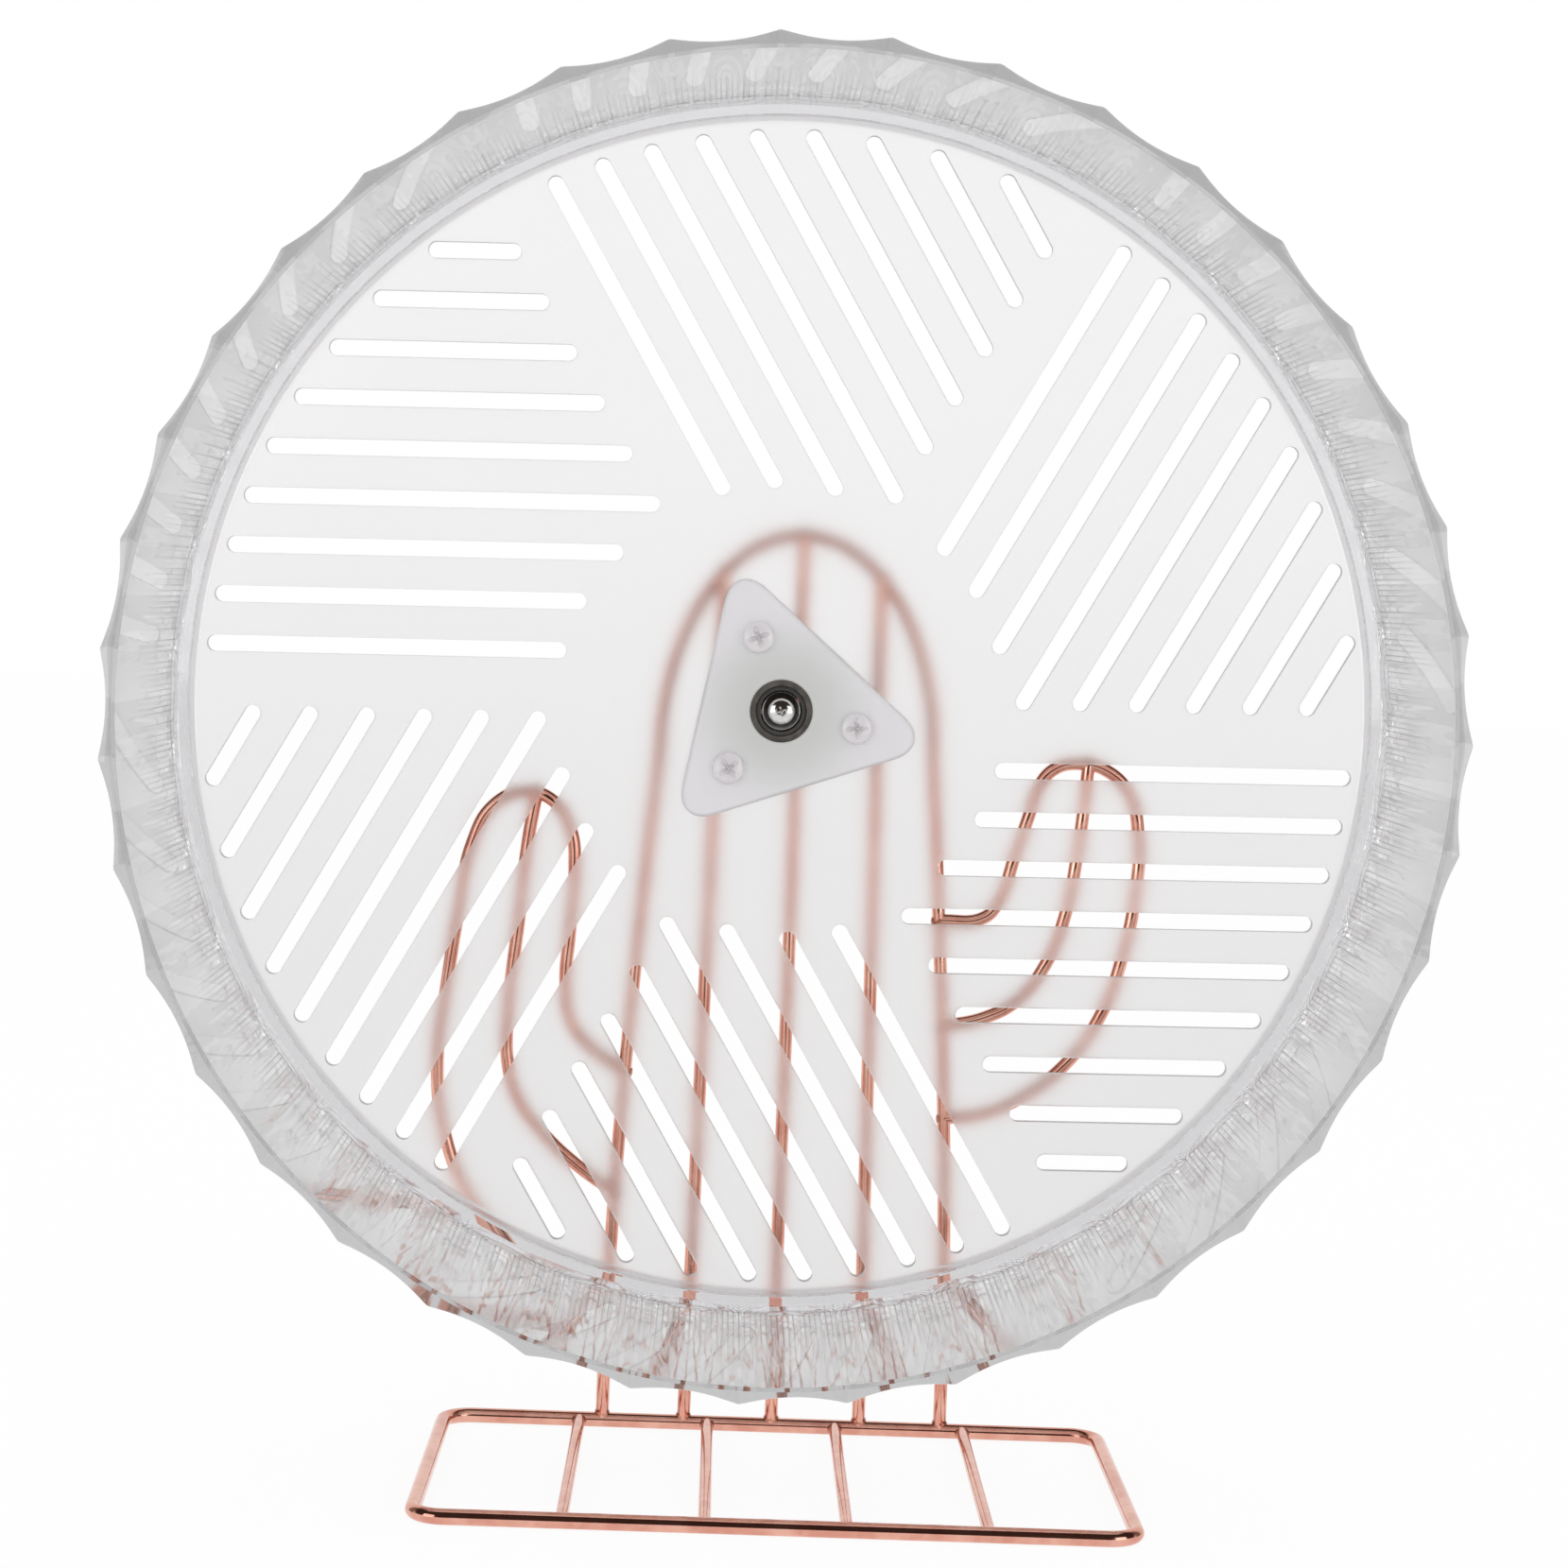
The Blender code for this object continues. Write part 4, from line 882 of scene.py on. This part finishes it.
# %% Turn the bearings
OUTER_LAND, INNER_LAND = 6.197, 4.798
BEARING_WIDTH = 5.0
chamfer = 0.25
for end, front, out_seal in (("front", 87.6, "front"), ("rear", 96.0, "rear")):
    back = front + BEARING_WIDTH
    outer = turn_profile(f"{end}_outer_race", [
        (OUTER_LAND, front), (8.0 - chamfer, front), (8.0, front + chamfer),
        (8.0, back - chamfer), (8.0 - chamfer, back), (OUTER_LAND, back),
        (OUTER_LAND, back - 1.0), (6.6, back - 1.6), (6.6, front + 1.6),
        (OUTER_LAND, front + 1.0), (OUTER_LAND, front),
    ], 96)
    finish_piece(outer, "wheel", "bearing_steel", outer_steel, f"{end}_bearing_outer_ring")
    inner = turn_profile(f"{end}_inner_race", [
        (2.5, front + chamfer), (2.5 + chamfer, front), (INNER_LAND - 0.45, front),
        (INNER_LAND - 0.3, front + 0.04), (INNER_LAND - 0.15, front + 0.12),
        (INNER_LAND - 0.05, front + 0.22), (INNER_LAND, front + 0.4),
        (INNER_LAND, front + 1.0), (4.4, front + 1.6),
        (4.4, back - 1.6), (INNER_LAND, back - 1.0), (INNER_LAND, back - chamfer),
        (INNER_LAND - chamfer, back), (2.5 + chamfer, back), (2.5, back - chamfer),
        (2.5, front + chamfer),
    ], 96)
    finish_piece(inner, "stand", "bearing_steel", inner_steel, f"{end}_bearing_inner_ring")
    near, far = (0.2, 0.55) if end == "front" else (BEARING_WIDTH - 0.2, BEARING_WIDTH - 0.55)
    step = far - near
    seal = turn_profile(f"{end}_seal_disc", [
        (5.0, front + far), (5.0, front + near + 0.15 * step), (5.05, front + near),
        (5.6, front + near), (5.7, front + near + 0.1 * step),
        (5.75, front + near + 0.7 * step), (6.05, front + near + 0.7 * step),
        (6.1, front + near + 0.8 * step), (6.1, front + far), (5.0, front + far),
    ], 96)
    finish_piece(seal, "wheel", "seal_rubber", seal_rubber, f"{end}_bearing_{out_seal}_seal")

bolt = headed("domed_bolt", 3.3, 2.2, 2.4, 87.3, 105.55, (1.25, 0.5), math.radians(20), axle, 96)
finish_piece(bolt, "stand", "bearing_steel", bolt_steel, "axle_bolt", smooth=40)

# %% Finish the hidden CAD nodes
for name, solid in frame["nodes"].items():
    if "ball" in name or name == "inner_ring_spacer":
        finish = bolt_steel
    elif name.endswith("_cage"):
        finish = nylon
    elif name.endswith("_seal"):
        finish = seal_rubber
    else:
        continue
    solid.data.materials.clear()
    solid.data.materials.append(finish)
    print(name, "gets", finish.name)

# %% [markdown]
# ## Rose-gold plate
#
# The stand is steel wire, polished and plated with a copper and gold alloy: metallic, with a
# pinkish base and a mirror that is slightly soft. Drawing the wire leaves faint lines along it
# and plating a faint unevenness. Its edges look paler, which Principled's edge tint gives.

# %% Make the plated finishes
PLATE_DARK, PLATE_LIGHT = linear("#D99886"), linear("#E9B29F")
DRIFT_WIDTH, SKIN_WIDTH = 6 * MM, 1.4 * MM


def plated(name, dark, light, low, high, wave_height):
    """Plated wire whose tone and gloss drift along it."""
    material, tree, shader = start_material(name, Metallic=1.0, Specular_Tint=linear("#FFFFFF"))
    place = node(tree, "TexCoord").outputs["Object"]
    drift = node(tree, "TexNoise", {"Vector": place, "Scale": 1 / DRIFT_WIDTH, "Detail": 3.0})
    tone = node(tree, "ValToRGB", {0: drift})
    tone.color_ramp.elements[0].position, tone.color_ramp.elements[0].color = 0.35, dark
    tone.color_ramp.elements[1].position, tone.color_ramp.elements[1].color = 0.65, light
    rough = node(tree, "MapRange", {0: drift, 1: 0.3, 2: 0.7, 3: low, 4: high})
    skin = node(tree, "TexNoise", {"Vector": place, "Scale": 1 / SKIN_WIDTH, "Detail": 2.0})
    bump = node(tree, "Bump", {"Height": skin, "Distance": wave_height, "Strength": 1.0})
    plug(tree, shader, Base_Color=tone, Roughness=rough, Normal=bump)
    return material


rose_gold = plated("rose_gold_plated_wire", PLATE_DARK, PLATE_LIGHT, 0.08, 0.14, 0.002 * MM)
weld_gold = plated("rose_gold_plated_weld", linear("#A9705E"), linear("#D99E88"), 0.2, 0.35,
                   0.08 * MM)
print("plated finishes are ready")

# %% [markdown]
# ## The base loop
#
# One thick wire lies on the table as a rectangle with rounded corners. A plane gets its corners
# rounded with a vertex bevel, loses its face, and the outline that is left becomes a curve with
# a round section. Converting that curve gives the wire.

# %% Bend the base loop
STAND_X = 4.5
RAIL_HEIGHT = 1.848
BASE_WIDTH = 163.4
FRONT_RAIL = 11.5
TRUNK = 108.0
UPRIGHT_WIRE, CROSSBAR_WIRE = 3.3, 3.0
CORNER_BEND = 7.0
WIRE_ROUNDNESS = 9


def on_stand(x, depth, height):
    """A place on the stand in metres, from mm across, behind the drum's front and up."""
    return Vector((x * MM, axle.y + depth * MM, height * MM))


def thicken(line, radius):
    """Gives a curve a round section and turns it into a closed mesh."""
    line.data.bevel_depth = radius * MM
    line.data.bevel_resolution = WIRE_ROUNDNESS
    line.data.use_fill_caps = True
    bpy.ops.object.convert(target="MESH")
    edit_mode()
    close_up()
    object_mode()
    return bpy.context.object


rail_depth = TRUNK - FRONT_RAIL
loop = add_primitive(
    "base_loop_wire", bpy.ops.mesh.primitive_plane_add, size=MM,
    location=on_stand(STAND_X, (TRUNK + FRONT_RAIL) / 2, RAIL_HEIGHT),
    stretch=(BASE_WIDTH, rail_depth, 1),
)
edit_mode()
select_everything()
bpy.ops.mesh.bevel(offset=CORNER_BEND * MM, segments=14, affect="VERTICES")
select_everything()
bpy.ops.mesh.delete(type="ONLY_FACE")
object_mode()
bpy.ops.object.convert(target="CURVE")
loop = thicken(bpy.context.object, RAIL_HEIGHT)
finish_piece(loop, "stand", "rose_gold_wire", rose_gold, "base_frame", smooth=50)

# %% [markdown]
# ## The other wires
#
# Each wire is a smooth Bezier curve through a few places, as the wire bender would mark them.
# Its ends run into the wire that it is welded to. The arch is two legs that flare down to the
# base, and half an ellipse above the shoulders. The arms are given as shares of their reach and
# height, in the CAD as well, so that the two stay the same.

# %% Draw the straight wires and the arch
def draw_wire(name, places, diameter, *nodes, material=None):
    """A wire through the places, as a Bezier curve with automatic handles."""
    bpy.ops.object.select_all(action="DESELECT")
    bpy.ops.curve.primitive_bezier_curve_add()
    line = bpy.context.object
    line.name = name
    edit_mode()
    bpy.ops.curve.select_all(action="SELECT")
    bpy.ops.curve.delete(type="VERT")
    for place in places:
        bpy.ops.curve.vertex_add(location=place)
    bpy.ops.curve.select_all(action="SELECT")
    bpy.ops.curve.handle_type_set(type="AUTOMATIC")
    object_mode()
    line.data.resolution_u = 8
    wire = thicken(line, diameter / 2)
    return finish_piece(wire, "stand", "rose_gold_wire", material or rose_gold, *nodes, smooth=50)


SHOULDER, CROWN = 171.0, 54.0
SHOULDER_HALF, FOOT_HALF, FOOT = 34.0, 42.4, 3.996
RIB_TOP, RIB_FOOT = 19.4, 22.0
crossbar_places = [STAND_X + BASE_WIDTH * 0.196 * (number - 1.5) for number in range(4)]


def trunk_half(height):
    """Half the arch's width at a height."""
    rise = height - SHOULDER
    if rise >= 0:
        return SHOULDER_HALF * math.sqrt(max(0.0, 1 - (rise / CROWN) ** 2))
    down = min(1.0, -rise / (SHOULDER - FOOT))
    return SHOULDER_HALF + (FOOT_HALF - SHOULDER_HALF) * math.sin(down * math.pi / 2)


for number, x in enumerate(crossbar_places, 1):
    draw_wire(f"floor_bar_{number}",
              [on_stand(x, FRONT_RAIL, RAIL_HEIGHT), on_stand(x, TRUNK, RAIL_HEIGHT)],
              CROSSBAR_WIRE, f"base_crossbar_{number}")

leg_heights = [RAIL_HEIGHT + (SHOULDER - RAIL_HEIGHT) * step / 10 for step in range(10)]
arch = [on_stand(STAND_X - trunk_half(height), TRUNK, height) for height in leg_heights]
for step in range(25):
    turn = math.pi * step / 24
    arch.append(on_stand(STAND_X - SHOULDER_HALF * math.cos(turn), TRUNK,
                         SHOULDER + CROWN * math.sin(turn)))
arch += [on_stand(STAND_X + trunk_half(height), TRUNK, height) for height in leg_heights[::-1]]
draw_wire("arch_wire", arch, UPRIGHT_WIRE, "trunk_arch")

rib_tops = []
for label, side in (("left", -1), ("centre", 0), ("right", 1)):
    top_x = side * RIB_TOP
    top = SHOULDER + CROWN * math.sqrt(1 - (top_x / SHOULDER_HALF) ** 2)
    rib_tops.append(on_stand(STAND_X + top_x, TRUNK, top))
    draw_wire(f"upright_{label}", [on_stand(STAND_X + side * RIB_FOOT, TRUNK, RAIL_HEIGHT),
                                   rib_tops[-1]], UPRIGHT_WIRE, f"trunk_rib_{label}")

# %% Draw the arms
ARMS = {
    "left": {
        "side": -1, "root": 33.0, "height": 126.0, "reach": 44.5,
        "loop": ((0.0, 0.0), (0.225, 0.024), (0.53, 0.09), (0.80, 0.195), (0.955, 0.33),
                 (1.0, 0.46), (0.965, 0.60), (0.905, 0.77), (0.845, 0.895), (0.735, 0.97),
                 (0.562, 1.0), (0.404, 0.984), (0.30, 0.93), (0.268, 0.849), (0.285, 0.72),
                 (0.297, 0.625), (0.262, 0.55), (0.16, 0.503), (-0.067, 0.452)),
        "rib": ((0.494, 1.0), (0.535, 0.90), (0.572, 0.74), (0.61, 0.58), (0.605, 0.46),
                (0.54, 0.39), (0.40, 0.325), (0.20, 0.262), (-0.016, 0.21)),
    },
    "right": {
        "side": 1, "root": 81.0, "height": 90.0, "reach": 46.0,
        "loop": ((0.0, 0.0), (0.22, 0.018), (0.46, 0.08), (0.67, 0.175), (0.837, 0.311),
                 (0.94, 0.48), (0.992, 0.65), (0.995, 0.80), (0.93, 0.925), (0.80, 0.985),
                 (0.66, 1.0), (0.53, 0.985), (0.445, 0.935), (0.395, 0.85), (0.326, 0.733),
                 (0.255, 0.615), (0.18, 0.565), (-0.087, 0.55)),
        "rib": ((0.707, 1.0), (0.69, 0.87), (0.66, 0.72), (0.62, 0.59), (0.52, 0.44),
                (0.37, 0.335), (0.20, 0.285), (-0.048, 0.256)),
    },
}
joints = []
for label, arm in ARMS.items():
    for part, ends in (("loop", (0, -1)), ("rib", (-1,))):
        rows = [[trunk_half(arm["root"]) + across * arm["reach"], arm["root"] + up * arm["height"]]
                for across, up in arm[part]]
        for row in ends:
            rows[row][0] = trunk_half(rows[row][1])
        places = [on_stand(STAND_X + arm["side"] * x, TRUNK, z) for x, z in rows]
        draw_wire(f"{label}_arm_{part}_wire", places, UPRIGHT_WIRE, f"{label}_arm_{part}")
        joints += [places[0], places[-1]]
print("arm welds:", len(joints))

# %% [markdown]
# ## The axle plate and the welds
#
# A round plate with a boss is welded to the front of the uprights, and the axle bolt screws into
# it. The wires are joined by resistance welds, which leave small squashed beads. One bead is a
# sphere that is flattened and made uneven, and it is copied to every joint with its own seed.

# %% Turn the axle plate
plate = turn_profile("axle_plate", [
    (4.5, 101.3), (4.5, 103.6), (5.0, 104.05), (14.6, 104.05), (15.0, 104.45), (15.0, 105.65),
    (14.6, 106.05), (2.5, 106.05), (2.5, 101.3), (4.5, 101.3),
], 96)
finish_piece(plate, "stand", "rose_gold_wire", rose_gold, "axle_mount", smooth=40)

# %% Add the weld beads
BEAD, FOOT_BEAD, RAIL_BEAD = 2.1, 3.4, 1.2
for side, top in zip((-1, 0, 1), rib_tops):
    joints += [top, on_stand(STAND_X + side * RIB_FOOT, TRUNK, FOOT_BEAD)]
joints += [on_stand(STAND_X + side * FOOT_HALF, TRUNK, FOOT_BEAD) for side in (-1, 1)]
joints += [on_stand(x, depth, RAIL_HEIGHT) for x in crossbar_places
           for depth in (FRONT_RAIL + RAIL_BEAD, TRUNK - RAIL_BEAD)]
beads = []
for number, place in enumerate(joints):
    flat = place.z < 3 * MM
    bead = add_primitive(
        f"bead_{number}", bpy.ops.mesh.primitive_uv_sphere_add, segments=16, ring_count=10,
        radius=BEAD * MM, location=place, stretch=(0.95, 0.8, 0.72 if flat else 1.0),
    )
    edit_mode()
    select_everything()
    bpy.ops.transform.vertex_random(offset=0.12 * MM, seed=number)
    object_mode()
    beads.append(bead)
welds = join("weld_beads", beads)
finish_piece(welds, "stand", "rose_gold_wire", weld_gold, smooth=60)

# %% [markdown]
# ## Hand over
#
# Light runs along inside the drum's wall and turns dozens of times before it leaves, so the
# light paths get many more bounces than Blender's default. With too few the wall fills with
# black.

# %% Set the bounces and count the triangles
WALL_BOUNCES = 96
bpy.context.scene.cycles.max_bounces = WALL_BOUNCES
bpy.context.scene.cycles.transmission_bounces = WALL_BOUNCES
bpy.context.scene.cycles.glossy_bounces = WALL_BOUNCES
print("new triangles:", total_triangles)
